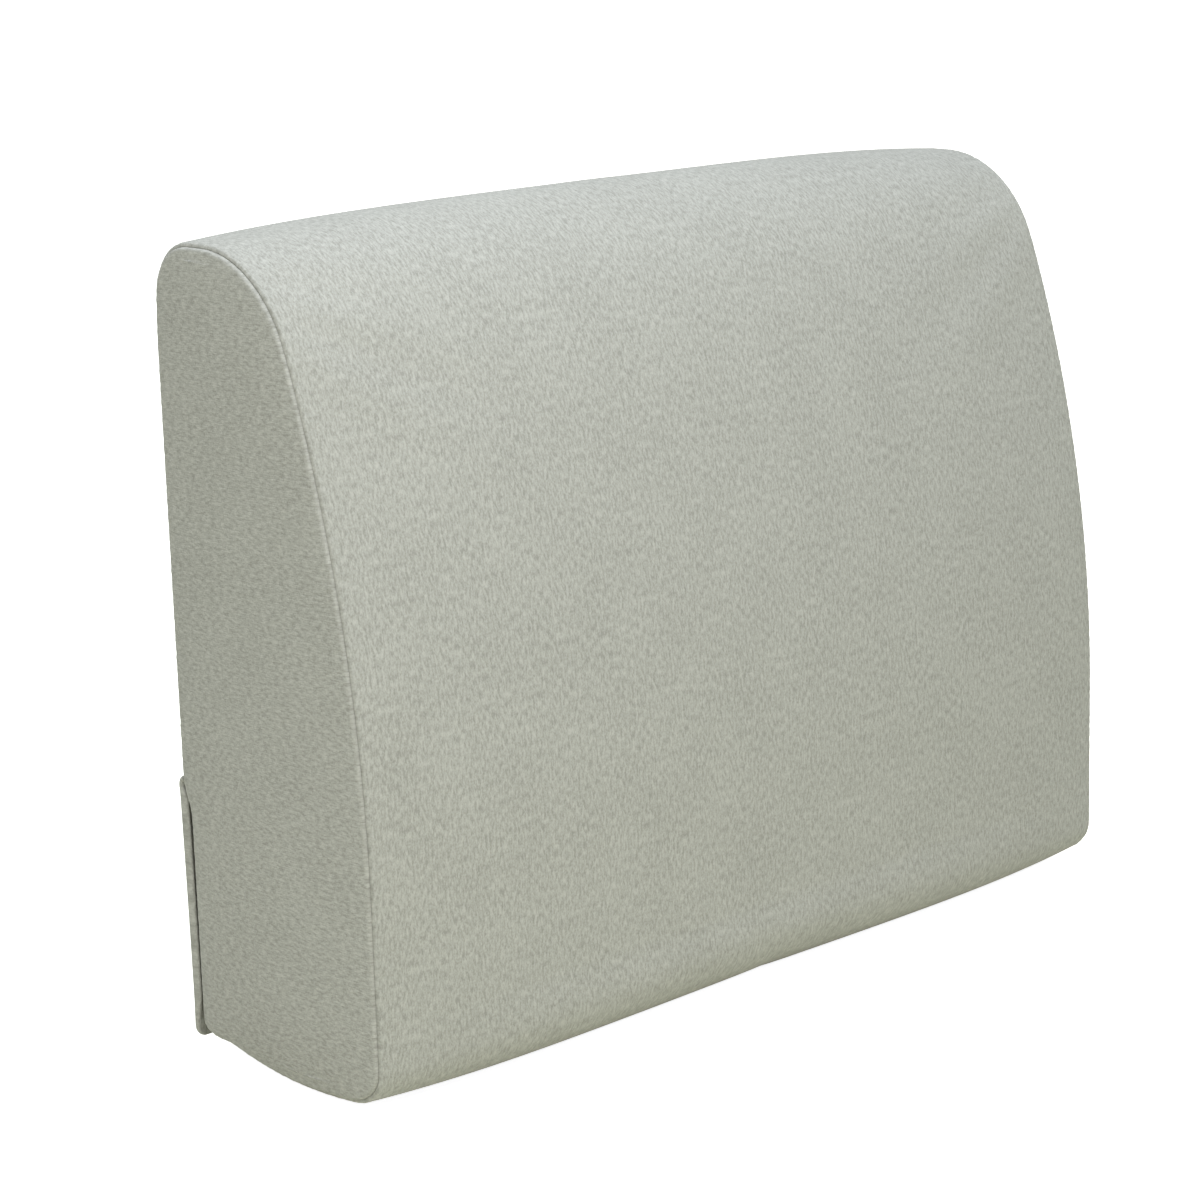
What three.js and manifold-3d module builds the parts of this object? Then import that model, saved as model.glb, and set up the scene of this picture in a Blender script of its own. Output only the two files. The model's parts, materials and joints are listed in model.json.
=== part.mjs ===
// Lumbar support cushion: a wedge of foam in a zipped woven cover, with a flap over the zip.
// Millimetres. +X runs across the width, the front faces -Y, the flat back faces +Y, +Z is up.
// The origin is on the flat base, midway across the width and midway between front and back.
// Left and right are those of someone who looks at the front.
import * as THREE from "three";
import { mergeVertices } from "three/addons/utils/BufferGeometryUtils.js";
import Module from "manifold-3d";

// ---- Body
const WIDTH = 595; // from side seam to side seam
const HEIGHT = 450;
const BASE_DEPTH = 160;
const FRONT_ROLL = 70; // radius from the sloping front into the top
const TOP_FLAT = 13; // level strip between the front roll and the back roll
const BACK_ROLL = 30; // radius from the top into the back
const BELLY_HEIGHT = 114; // below this the front stands upright
const TOE_RADIUS = 30; // front lower corner
const HEEL_RADIUS = 12; // back lower corner

// ---- Layers
const FABRIC = 1.6; // woven cover
const COMFORT_FOAM = 25; // soft foam over the front and the top
const END_WADDING = 8; // fibre pad at each end of the foam
const GAP = 0.3; // between pieces that touch

// ---- Flap over the zip
const FLAP_SEAM = 155; // height of the seam that the flap hangs from
const FLAP_FOOT = 4; // height of its free edge
const FLAP_THICKNESS = 3.2; // two layers of cover cloth
const FLAP_STANDOFF = 0.5; // between the back and the flap's top edge
const FLAP_SIDE_INSET = 1; // from a side seam to the flap's side edge

// ---- Zip
const ZIP_HEIGHT = 112; // centre line of the chain
const ZIP_WINDOW = 16; // opening in the cover along the chain
const ZIP_MARGIN = 25; // from a side seam to the end of the chain
const TAPE_WIDTH = 14;
const TAPE_THICKNESS = 0.8;
const COIL_WIDTH = 2.4; // one side of the chain
const COIL_HEIGHT = 2;
const COIL_SPLIT = 0.4; // between the two sides of the chain
const STOP_LENGTH = 3;
const STOP_OVERHANG = 0.6; // a stop is this much wider than the chain on each side
const SLIDER_LENGTH = 9;
const SLIDER_WALL = 1;
const SLIDER_END_GAP = 1; // from the slider to the end of the chain
const CROWN_LENGTH = 6.4; // arch on the slider that holds the pull tab
const CROWN_WIDTH = 1.2;
const CROWN_THICKNESS = 0.8;
const RUN = 0.3; // clearance of the moving zip pieces
const ZIP_ROOM = 1; // between the crown and the closed flap
const PULL_LENGTH = 26; // from its pivot
const PULL_WIDTH = 6;
const PULL_THICKNESS = 1;
const EYE_CLEARANCE = 0.8; // between the crown and the rim of the tab's eye

// ---- Hook and loop patches, and the care label
const PATCH_WIDTH = 60;
const PATCH_HEIGHT = 20;
const PATCH_THICKNESS = 1.2;
const PATCH_CENTRE = 30; // height above the base
const PATCH_PLAY = 0.4; // between a hook patch and its loop patch
const LABEL_WIDTH = 30;
const LABEL_HEIGHT = 42;
const LABEL_THICKNESS = 0.5;
const LABEL_X = 95;
const LABEL_DROP = 2; // from the top edge of the lower back panel

// ---- Fineness
const ARC_STEPS = 7; // an arc is drawn with twice as many straight steps
const WELD = 1e-3; // points nearer than this are one point

// ---- The lower back is set in, and the flap leans in, by what the zip and the patches need
// under the flap. The room there shrinks evenly downwards: it is zipStack at the chain and
// patchStack at the lower edge of the patches.
const PULL_CORNER = PULL_THICKNESS / Math.SQRT2; // reach of the tab's square bar as it turns
const PLATE_RISE = COIL_HEIGHT - FABRIC + RUN + SLIDER_WALL; // slider's plate over the cover
const PIVOT_RISE = PLATE_RISE + RUN + PULL_CORNER;
const CROWN_RISE = PIVOT_RISE + PULL_CORNER + RUN;
const zipStack = CROWN_RISE + CROWN_THICKNESS + ZIP_ROOM;
const patchStack = 2 * (PATCH_THICKNESS + GAP) + PATCH_PLAY;
const flapPivotZ = FLAP_SEAM - GAP - FLAP_THICKNESS / 2;
const zipDrop = flapPivotZ - ZIP_HEIGHT;
const patchDrop = flapPivotZ - PATCH_CENTRE + PATCH_HEIGHT / 2;
const leanSlope = (zipStack - patchStack) / (patchDrop - zipDrop);
const ZIP_RECESS = zipStack + zipDrop * leanSlope - FLAP_STANDOFF;

// ---- Planes that follow from the sizes above
const BACK = BASE_DEPTH / 2;
const FRONT = -BASE_DEPTH / 2;
const LOWER_BACK = BACK - ZIP_RECESS;
const SEAM = WIDTH / 2;
const LINING = FABRIC + GAP; // depth at which the filling starts
const COVER_HALF = SEAM - LINING; // the panels between the side panels reach this far
const TAPE_FRONT = LOWER_BACK - LINING;
const FOAM_INSET = ZIP_RECESS + LINING + TAPE_THICKNESS + GAP; // foam clears the zip tapes
const FOAM_HALF = COVER_HALF - END_WADDING - 2 * GAP;
const COIL_TOP = LOWER_BACK - FABRIC + COIL_HEIGHT;
const COIL_HALF = SEAM - ZIP_MARGIN;
const CHAIN_REACH = COIL_SPLIT / 2 + COIL_WIDTH; // from the centre line to the chain's edge

// ---- Colour, roughness and metalness of each stuff
const CLOTH = [0xb5b8ab, 0.95, 0];
const FIRM_FOAM = [0xe9dfae, 1, 0];
const SOFT_FOAM = [0xf1eee2, 1, 0];
const FIBRE = [0xf6f6f4, 1, 0];
const TAPE = [0xb9bab0, 0.9, 0];
const NYLON = [0xc4c5bd, 0.5, 0];
const NICKEL = [0xb8b8b6, 0.3, 1];
const HOOK_AND_LOOP = [0xc0c1b7, 1, 0];
const SATIN = [0xf2f1ec, 0.8, 0];

// ---- Side outline
// Five arcs joined by straight lines, from the back over the top, down the front and along the
// base. Angles run from +Y towards +Z. Moving the outline inwards only shortens the radii.
const QUARTER = Math.PI / 2;
const backRoll = { y: BACK - BACK_ROLL, z: HEIGHT - BACK_ROLL, r: BACK_ROLL };
const frontRoll = { y: backRoll.y - TOP_FLAT, z: HEIGHT - FRONT_ROLL, r: FRONT_ROLL };
const belly = bellyArc();
const toe = { y: FRONT + TOE_RADIUS, z: TOE_RADIUS, r: TOE_RADIUS };
const heel = { y: LOWER_BACK - HEEL_RADIUS, z: HEEL_RADIUS, r: HEEL_RADIUS };
const foamHeel = HEEL_RADIUS / 2;
const slope = Math.atan2(frontRoll.z - belly.z, frontRoll.y - belly.y);
const overBack = { ...backRoll, from: 0, to: QUARTER };
const overFront = { ...frontRoll, from: QUARTER, to: slope };
const downBelly = { ...belly, from: slope, to: 2 * QUARTER };
const roundToe = { ...toe, from: 2 * QUARTER, to: 3 * QUARTER };
const roundHeel = { ...heel, from: 3 * QUARTER, to: 4 * QUARTER };
const roundFoamHeel = {
  y: BACK - FOAM_INSET - foamHeel,
  z: FOAM_INSET + foamHeel,
  r: FOAM_INSET + foamHeel,
  from: 3 * QUARTER,
  to: 4 * QUARTER,
};

// The large arc of the front: it leaves the line y = FRONT at BELLY_HEIGHT, and touches the
// front roll from outside, so the distance between their centres is the difference of the radii.
function bellyArc() {
  const across = FRONT - frontRoll.y;
  const down = BELLY_HEIGHT - frontRoll.z;
  const r = (FRONT_ROLL ** 2 - across ** 2 - down ** 2) / (2 * (across + FRONT_ROLL));
  return { y: FRONT + r, z: BELLY_HEIGHT, r };
}

function follow(path, inset, arcs) {
  for (const a of arcs) {
    path.absarc(a.y, a.z, a.r - inset, a.from, a.to, a.to < a.from);
  }
}

function reversed(arcs) {
  return arcs.map((a) => ({ ...a, from: a.to, to: a.from })).reverse();
}

// The shape inside a path, without the double points where its arcs meet end to end.
function shapeOf(path) {
  const points = path.getPoints(ARC_STEPS);
  const previous = (i) => points[(i || points.length) - 1];
  return new THREE.Shape(points.filter((p, i) => p.distanceTo(previous(i)) > WELD));
}

// A layer along some arcs, between two depths inside the outline. start gives the two corners
// before the first arc, inner then outer, and end the two after the last, outer then inner.
function layer(arcs, outer, inner, start, end) {
  const path = new THREE.Path();
  path.moveTo(...start[0]);
  path.lineTo(...start[1]);
  follow(path, outer, arcs);
  path.lineTo(...end[0]);
  path.lineTo(...end[1]);
  follow(path, inner, reversed(arcs));
  return shapeOf(path);
}

function polygon(...corners) {
  return new THREE.Shape(corners.map(([u, v]) => new THREE.Vector2(u, v)));
}

function rectangle(u0, u1, v0, v1) {
  return polygon([u0, v0], [u1, v0], [u1, v1], [u0, v1]);
}

// ---- Solids
const ACROSS = new THREE.Matrix4().makeBasis(
  new THREE.Vector3(0, 1, 0),
  new THREE.Vector3(0, 0, 1),
  new THREE.Vector3(1, 0, 0),
);

function extruded(shape, depth) {
  return new THREE.ExtrudeGeometry(shape, { depth, bevelEnabled: false });
}

// A section in the Y-Z plane, carried along X from x0 to x1.
function alongX(shape, x0, x1) {
  return extruded(shape, x1 - x0).applyMatrix4(ACROSS).translate(x0, 0, 0);
}

function acrossBody(shape, half) {
  return alongX(shape, -half, half);
}

function box(x0, x1, y0, y1, z0, z1) {
  return alongX(rectangle(y0, y1, z0, z1), x0, x1);
}

const manifold = await Module();
manifold.setup();

function solidOf(geometry) {
  const welded = mergeVertices(geometry.clone().deleteAttribute("normal").deleteAttribute("uv"), WELD);
  return new manifold.Manifold(
    new manifold.Mesh({
      numProp: 3,
      vertProperties: welded.attributes.position.array,
      triVerts: new Uint32Array(welded.index.array),
    }),
  );
}

function joined(a, b) {
  const mesh = solidOf(a).add(solidOf(b)).getMesh();
  const geometry = new THREE.BufferGeometry();
  geometry.setAttribute("position", new THREE.BufferAttribute(mesh.vertProperties, 3));
  geometry.setIndex(new THREE.BufferAttribute(mesh.triVerts, 1));
  return geometry.toNonIndexed();
}

const cushion = new THREE.Group();

function add(name, geometry, [color, roughness, metalness], group = cushion) {
  geometry.computeVertexNormals();
  const mesh = new THREE.Mesh(
    geometry,
    new THREE.MeshStandardMaterial({ color, roughness, metalness }),
  );
  mesh.name = name;
  group.add(mesh);
  return mesh;
}

// ---- Filling: a firm core, softer foam on its front and top, fibre round them
function coreShape() {
  const inner = FOAM_INSET + COMFORT_FOAM + GAP;
  const path = new THREE.Path();
  follow(path, FOAM_INSET, [roundFoamHeel, overBack]);
  path.lineTo(backRoll.y, HEIGHT - inner);
  follow(path, inner, [overFront, downBelly]);
  path.lineTo(FRONT + inner, TOE_RADIUS);
  follow(path, FOAM_INSET, [roundToe]);
  return shapeOf(path);
}

function comfortShape() {
  const inner = FOAM_INSET + COMFORT_FOAM;
  return layer(
    [overFront, downBelly],
    FOAM_INSET,
    inner,
    [
      [backRoll.y - GAP, HEIGHT - inner],
      [backRoll.y - GAP, HEIGHT - FOAM_INSET],
    ],
    [
      [FRONT + FOAM_INSET, TOE_RADIUS + GAP],
      [FRONT + inner, TOE_RADIUS + GAP],
    ],
  );
}

// The fibre starts above the flap seam, goes over the top and down the front, and ends under
// the base where the heel begins.
function waddingShape() {
  const inner = FOAM_INSET - GAP;
  return layer(
    [overBack, overFront, downBelly, roundToe],
    LINING,
    inner,
    [
      [BACK - inner, FLAP_SEAM + GAP],
      [BACK - LINING, FLAP_SEAM + GAP],
    ],
    [
      [heel.y, LINING],
      [heel.y, inner],
    ],
  );
}

function foamShape() {
  const path = new THREE.Path();
  follow(path, FOAM_INSET, [roundFoamHeel, overBack, overFront, downBelly, roundToe]);
  return shapeOf(path);
}

function addFilling() {
  add("support_foam_core", acrossBody(coreShape(), FOAM_HALF), FIRM_FOAM);
  add("comfort_foam_layer", acrossBody(comfortShape(), FOAM_HALF), SOFT_FOAM);
  add("fibre_wadding_wrap", acrossBody(waddingShape(), COVER_HALF - GAP), FIBRE);
  const start = FOAM_HALF + GAP;
  add("left_end_wadding", alongX(foamShape(), -start - END_WADDING, -start), FIBRE);
  add("right_end_wadding", alongX(foamShape(), start, start + END_WADDING), FIBRE);
}

// ---- Cover panels
function wrapShape() {
  const arcs = [overBack, overFront, downBelly, roundToe, roundHeel];
  const top = [
    [BACK - FABRIC, backRoll.z],
    [BACK, backRoll.z],
  ];
  const foot = [
    [LOWER_BACK, heel.z],
    [LOWER_BACK - FABRIC, heel.z],
  ];
  return layer(arcs, 0, FABRIC, top, foot);
}

function sidePanelShape() {
  const path = new THREE.Path();
  path.moveTo(BACK, FLAP_SEAM - FABRIC);
  path.lineTo(BACK, backRoll.z);
  follow(path, 0, [overBack, overFront, downBelly, roundToe, roundHeel]);
  path.lineTo(LOWER_BACK, FLAP_SEAM - FABRIC);
  return shapeOf(path);
}

// The strip between the zip and the flap seam, with a lip that turns out to the upper back.
function zipBandShape() {
  const inside = LOWER_BACK - FABRIC;
  const foot = ZIP_HEIGHT + ZIP_WINDOW / 2;
  return polygon(
    [inside, foot],
    [LOWER_BACK, foot],
    [LOWER_BACK, FLAP_SEAM - FABRIC],
    [BACK, FLAP_SEAM - FABRIC],
    [BACK, FLAP_SEAM],
    [inside, FLAP_SEAM],
  );
}

function addCover() {
  const upper = rectangle(BACK - FABRIC, BACK, FLAP_SEAM + GAP, backRoll.z - GAP);
  const lower = rectangle(
    LOWER_BACK - FABRIC,
    LOWER_BACK,
    heel.z + GAP,
    ZIP_HEIGHT - ZIP_WINDOW / 2,
  );
  add("front_wrap_panel", acrossBody(wrapShape(), COVER_HALF), CLOTH);
  add("upper_back_panel", acrossBody(upper, COVER_HALF), CLOTH);
  add("zip_band_panel", acrossBody(zipBandShape(), COVER_HALF), CLOTH);
  add("lower_back_panel", acrossBody(lower, COVER_HALF), CLOTH);
  add("left_side_panel", alongX(sidePanelShape(), -SEAM, FABRIC - SEAM), CLOTH);
  add("right_side_panel", alongX(sidePanelShape(), SEAM - FABRIC, SEAM), CLOTH);
}

// ---- Zip: tapes behind the cover, chain in the window between the panels
const plateTop = LOWER_BACK + PLATE_RISE;
const pullPivotY = LOWER_BACK + PIVOT_RISE;
const crownUnder = LOWER_BACK + CROWN_RISE;
const sliderRest = COIL_HALF - SLIDER_END_GAP - SLIDER_LENGTH / 2;

function sliderSolid() {
  const inside = CHAIN_REACH + RUN;
  const outside = inside + SLIDER_WALL;
  const foot = TAPE_FRONT + RUN;
  const body = polygon(
    [foot, ZIP_HEIGHT - outside],
    [plateTop, ZIP_HEIGHT - outside],
    [plateTop, ZIP_HEIGHT + outside],
    [foot, ZIP_HEIGHT + outside],
    [foot, ZIP_HEIGHT + inside],
    [plateTop - SLIDER_WALL, ZIP_HEIGHT + inside],
    [plateTop - SLIDER_WALL, ZIP_HEIGHT - inside],
    [foot, ZIP_HEIGHT - inside],
  );
  const reach = CROWN_LENGTH / 2;
  const post = reach - CROWN_THICKNESS;
  const root = plateTop - SLIDER_WALL / 2;
  const crown = polygon(
    [-reach, root],
    [-post, root],
    [-post, crownUnder],
    [post, crownUnder],
    [post, root],
    [reach, root],
    [reach, crownUnder + CROWN_THICKNESS],
    [-reach, crownUnder + CROWN_THICKNESS],
  );
  const arch = extruded(crown, CROWN_WIDTH).translate(0, 0, ZIP_HEIGHT - CROWN_WIDTH / 2);
  const shell = acrossBody(body, SLIDER_LENGTH / 2);
  return joined(shell, arch).translate(sliderRest, 0, 0);
}

// The tab lies along the chain, away from the nearer stop. Its bar passes under the crown, and
// its eye is long enough for the crown's post wherever the tab turns.
function pullSolid() {
  const bar = PULL_THICKNESS / 2;
  const side = PULL_WIDTH / 2;
  const eyeEnd = CROWN_LENGTH / 2 + EYE_CLEARANCE;
  const eyeSide = CROWN_WIDTH / 2 + EYE_CLEARANCE;
  const outline = new THREE.Path();
  outline.moveTo(bar, -side);
  outline.lineTo(bar, side);
  outline.absarc(side - PULL_LENGTH, 0, side, QUARTER, 3 * QUARTER, false);
  const tab = shapeOf(outline);
  tab.holes.push(rectangle(-eyeEnd, -bar, -eyeSide, eyeSide));
  return extruded(tab, PULL_THICKNESS)
    .rotateX(QUARTER)
    .translate(sliderRest, pullPivotY + bar, ZIP_HEIGHT);
}

function addZip() {
  const inner = COIL_SPLIT / 2;
  const rows = [
    ["upper", 1],
    ["lower", -1],
  ];
  const strip = (half, y0, y1, near, far, side) => {
    const edges = [ZIP_HEIGHT + side * near, ZIP_HEIGHT + side * far];
    return box(-half, half, y0, y1, Math.min(...edges), Math.max(...edges));
  };
  for (const [row, side] of rows) {
    const tape = strip(
      COVER_HALF,
      TAPE_FRONT - TAPE_THICKNESS,
      TAPE_FRONT,
      inner,
      inner + TAPE_WIDTH,
      side,
    );
    const coil = strip(COIL_HALF, LOWER_BACK - FABRIC, COIL_TOP, inner, CHAIN_REACH, side);
    add(`zip_tape_${row}`, tape, TAPE);
    add(`zip_coil_${row}`, coil, NYLON);
  }
  const reach = CHAIN_REACH + STOP_OVERHANG;
  const stops = [
    ["left", -COIL_HALF - GAP - STOP_LENGTH],
    ["right", COIL_HALF + GAP],
  ];
  for (const [end, x] of stops) {
    const clip = rectangle(
      TAPE_FRONT + GAP,
      COIL_TOP,
      ZIP_HEIGHT - reach,
      ZIP_HEIGHT + reach,
    );
    add(`zip_stop_${end}`, alongX(clip, x, x + STOP_LENGTH), NICKEL);
  }
  add("zip_slider", sliderSolid(), NICKEL);
  add("zip_pull_tab", pullSolid(), NICKEL);
}

// ---- Flap, with its patches and the label that it hides
function addFlap() {
  const half = FLAP_THICKNESS / 2;
  const section = new THREE.Path();
  section.absarc(0, 0, half, 0, 2 * QUARTER, false);
  section.absarc(0, FLAP_FOOT - flapPivotZ + half, half, 2 * QUARTER, 4 * QUARTER, false);
  const flap = new THREE.Group();
  flap.position.set(0, BACK + FLAP_STANDOFF + half, flapPivotZ);
  flap.rotation.x = -Math.atan(leanSlope);
  cushion.add(flap);
  add("closure_flap", acrossBody(shapeOf(section), SEAM - FLAP_SIDE_INSET), CLOTH, flap);

  const patches = [
    ["left", -WIDTH / 3],
    ["middle", 0],
    ["right", WIDTH / 3],
  ];
  const patch = (face, centre) =>
    acrossBody(
      rectangle(face, face + PATCH_THICKNESS, centre - PATCH_HEIGHT / 2, centre + PATCH_HEIGHT / 2),
      PATCH_WIDTH / 2,
    );
  const hookFace = -half - GAP - PATCH_THICKNESS;
  for (const [place, x] of patches) {
    const hook = patch(hookFace, PATCH_CENTRE - flapPivotZ).translate(x, 0, 0);
    const loop = patch(LOWER_BACK + GAP, PATCH_CENTRE).translate(x, 0, 0);
    add(`hook_patch_${place}`, hook, HOOK_AND_LOOP, flap);
    add(`loop_patch_${place}`, loop, HOOK_AND_LOOP);
  }
}

function addLabel() {
  const top = ZIP_HEIGHT - ZIP_WINDOW / 2 - LABEL_DROP;
  const face = LOWER_BACK + GAP;
  const label = rectangle(face, face + LABEL_THICKNESS, top - LABEL_HEIGHT, top);
  add("care_label", alongX(label, LABEL_X, LABEL_X + LABEL_WIDTH), SATIN);
}

addFilling();
addCover();
addZip();
addFlap();
addLabel();

export default cushion;
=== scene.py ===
"""Lumbar support cushion: a wedge of foam in a zipped woven cover, with a flap over the zip.

Metres. +X runs across the width, the front faces -Y, the flat back faces +Y, +Z is up, and the
base stands at z = 0. Left and right are those of someone who looks at the front.
"""

import json
import math

import bpy
import numpy as np
from bpy.props import FloatProperty, FloatVectorProperty, PointerProperty
from mathutils import Matrix, Vector


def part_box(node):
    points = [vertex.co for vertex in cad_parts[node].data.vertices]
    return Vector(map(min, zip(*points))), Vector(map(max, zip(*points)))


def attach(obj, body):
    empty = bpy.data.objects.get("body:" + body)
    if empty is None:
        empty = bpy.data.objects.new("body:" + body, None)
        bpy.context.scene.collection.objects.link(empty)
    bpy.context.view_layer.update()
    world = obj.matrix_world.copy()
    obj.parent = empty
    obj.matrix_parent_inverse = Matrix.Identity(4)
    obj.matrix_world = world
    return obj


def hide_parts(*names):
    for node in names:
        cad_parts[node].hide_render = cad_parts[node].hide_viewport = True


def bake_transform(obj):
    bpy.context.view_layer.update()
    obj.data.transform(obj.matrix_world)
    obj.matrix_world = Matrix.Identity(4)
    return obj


bl_info = {
    "name": "Lumbar Support Cushion",
    "version": (1, 0, 0),
    "blender": (4, 5, 0),
    "location": "View3D > Sidebar > Cushion",
    "description": "Makes a zipped foam back cushion with its cover, flap and studio",
    "category": "Add Mesh",
}

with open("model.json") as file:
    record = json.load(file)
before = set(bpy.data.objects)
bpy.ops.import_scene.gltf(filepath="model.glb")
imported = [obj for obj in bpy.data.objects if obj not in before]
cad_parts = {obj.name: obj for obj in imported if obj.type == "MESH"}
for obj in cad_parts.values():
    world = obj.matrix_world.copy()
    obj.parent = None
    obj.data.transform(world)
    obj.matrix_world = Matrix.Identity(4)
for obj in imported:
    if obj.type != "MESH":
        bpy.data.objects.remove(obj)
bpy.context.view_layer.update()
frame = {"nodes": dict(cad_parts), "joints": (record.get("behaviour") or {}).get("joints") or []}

MM = 0.001

# ---- Places that come from the frame
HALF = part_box("right_side_panel")[1].x
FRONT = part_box("front_wrap_panel")[0].y
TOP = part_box("front_wrap_panel")[1].z
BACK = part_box("upper_back_panel")[1].y
ROLL_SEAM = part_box("upper_back_panel")[1].z
FLAP_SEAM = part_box("zip_band_panel")[1].z
WINDOW_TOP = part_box("zip_band_panel")[0].z
WINDOW_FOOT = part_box("lower_back_panel")[1].z
HEEL_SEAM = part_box("lower_back_panel")[0].z
LOWER_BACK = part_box("lower_back_panel")[1].y


# ======================================================================== settings
def length(name, default, description):
    return FloatProperty(
        name=name, description=description, default=default, unit="LENGTH", precision=5
    )


def colour(name, default, description):
    return FloatVectorProperty(
        name=name, description=description, default=default, subtype="COLOR", size=3, min=0, max=1
    )


class CoverSettings(bpy.types.PropertyGroup):
    """Sizes of the cover and of its seams."""

    back_roll: length("Back roll", 30 * MM, "Radius from the top into the back")
    front_roll: length("Front roll", 70 * MM, "Radius from the sloping front into the top")
    top_flat: length("Top flat", 13 * MM, "Level strip between the two rolls")
    belly_height: length("Belly height", 114 * MM, "Below this the front stands upright")
    toe_radius: length("Toe radius", 22 * MM, "Radius of the front lower corner")
    heel_radius: length("Heel radius", 12 * MM, "Radius of the back lower corner")
    toe_rise: length("Toe rise", 3.5 * MM, "How far the base curves up towards the toe")
    heel_rise: length("Heel rise", 8 * MM, "How far the base curves up towards the heel")
    rise_reach: length("Rise reach", 30 * MM, "Height up to which the curve of the base is felt")
    step_height: length("Step height", 22 * MM, "Height of the step in of the back below the flap")
    slack: length("Slack", 2 * MM, "How far the top of a side seam lies below the crown of the top")
    top_fullness: length("Top fullness", 4.5 * MM, "Extra cut of the cover along the top")
    toe_fullness: length("Toe fullness", 7.5 * MM, "Extra cut of the cover along the toe")
    crown: length("Crown", 6.2 * MM, "Most that filling pushes out the front and the top")
    side_crown: length("Side crown", 5 * MM, "Most that filling pushes out a side panel")
    back_crown: length("Back crown", 1.2 * MM, "Most that filling pushes out the back")
    seam_radius: length("Seam radius", 4.5 * MM, "Roundness of an edge at a corner seam")
    groove_depth: length("Groove depth", 1.15 * MM, "Depth of the line that a seam draws in")
    groove_width: length("Groove width", 1.1 * MM, "Half the width of that line")
    tuck: length("Tuck", 5 * MM, "Cloth turned in beyond a seam")
    cloth: length("Cloth", 0.8 * MM, "Thickness of the woven cloth")
    pucker: length("Pucker", 0.14 * MM, "Height of the small gathers beside a seam")
    pressure: FloatProperty(
        name="Pressure", description="Push of the filling in the simulation", default=4
    )


class FlapSettings(bpy.types.PropertyGroup):
    """Sizes of the flap over the zip."""

    thickness: length("Thickness", 2.7 * MM, "Two layers of cloth")
    hem: length("Hem", 9 * MM, "Width of the turned hem")
    hem_extra: length("Hem extra", 0.6 * MM, "How much thicker the hem is")
    side_fold: length("Side fold", 3.2 * MM, "Cloth folded in at the sides, against the cushion")
    fold_width: length("Fold width", 2.2 * MM, "Width of the side fold, clear of the zip's tab")
    open_foot: length("Open foot", 24 * MM, "Height over which the side fold fades at the foot")
    corner: length("Corner", 7 * MM, "Radius of the two free corners")
    flare: length("Flare", 1.4 * MM, "How far the free edge stands off between the patches")


class ZipSettings(bpy.types.PropertyGroup):
    """Sizes of the zip's chain and tapes."""

    pitch: length("Pitch", 1.5 * MM, "From one tooth of a coil to its next")
    wire: length("Wire", 0.32 * MM, "Radius of the coil's wire")
    tape_rib: length("Tape rib", 1.1 * MM, "Width of one rib of a woven tape")


class StitchSettings(bpy.types.PropertyGroup):
    """Sizes of the sewing thread's stitches."""

    pitch: length("Pitch", 3.4 * MM, "From one stitch to the next")
    thread: length("Thread", 0.34 * MM, "Radius of the thread")


class ColourSettings(bpy.types.PropertyGroup):
    """Colours of the cloth and of the trimmings."""

    cloth_light: colour("Cloth light", (0.466, 0.461, 0.416), "Light yarns of the cover")
    cloth_dark: colour("Cloth dark", (0.298, 0.294, 0.260), "Dark yarns of the cover")
    thread: colour("Thread", (0.50, 0.515, 0.46), "Sewing thread")
    tape: colour("Tape", (0.45, 0.46, 0.41), "Zip tape")
    nylon: colour("Nylon", (0.52, 0.53, 0.48), "Zip coil and patches")
    satin: colour("Satin", (0.86, 0.85, 0.81), "Care label")
    firm_foam: colour("Firm foam", (0.80, 0.72, 0.42), "Core of the filling")
    soft_foam: colour("Soft foam", (0.86, 0.84, 0.74), "Layer over the core")
    fibre: colour("Fibre", (0.88, 0.88, 0.87), "Wadding round the foam")


class StudioSettings(bpy.types.PropertyGroup):
    """Camera, lamps and floor."""

    camera_x: length("Camera X", -1.27600, "Place of the camera across the width")
    camera_y: length("Camera Y", -1.29943, "Place of the camera in front of the cushion")
    camera_z: length("Camera Z", 0.64011, "Height of the camera")
    heading: FloatProperty(
        name="Heading", description="Turn from +Y towards +X", default=math.radians(43.211),
        subtype="ANGLE",
    )
    pitch: FloatProperty(
        name="Pitch", description="Tilt below the horizon", default=math.radians(13.195),
        subtype="ANGLE",
    )
    roll: FloatProperty(
        name="Roll", description="Lean of the camera", default=math.radians(1.62), subtype="ANGLE"
    )
    lens: FloatProperty(name="Lens", description="Focal length in mm", default=96)
    ambient: FloatProperty(name="Ambient", description="Strength of the even light", default=0.45)
    key: FloatProperty(name="Key", description="Watts of the lamp at the front left", default=7.3)
    overhead: FloatProperty(name="Overhead", description="Watts of the lamp above", default=13)
    sky: FloatProperty(name="Sky", description="Strength of the wide light above", default=0.6)
    floor_drop: length("Floor drop", 5.5 * MM, "Depth of the full base below the seams' level")
    glow: FloatProperty(name="Glow", description="How far the floor is overexposed", default=0.93)
    floor: colour("Floor", (0.93, 0.92, 0.76), "Colour of the floor")


# ======================================================================== mesh helpers
def quads(index, closed=False):
    """Corners of the quads of a grid of point numbers: each cell joins row i to row i + 1 and
    column j to column j + 1. closed joins the last row to the first."""
    below, above = (index, np.roll(index, -1, 0)) if closed else (index[:-1], index[1:])
    corners = below[:, :-1], below[:, 1:], above[:, 1:], above[:, :-1]
    return np.stack(corners, -1).reshape(-1, 4)


def numbered(rows, columns, first=0):
    return first + np.arange(rows * columns).reshape(rows, columns)


def folded(index):
    """A grid whose first and last rows are folded in half, so that their two ends are one."""
    index = index.copy()
    for row in (0, -1):
        index[row] = np.minimum(index[row], index[row][::-1])
    return index


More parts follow.
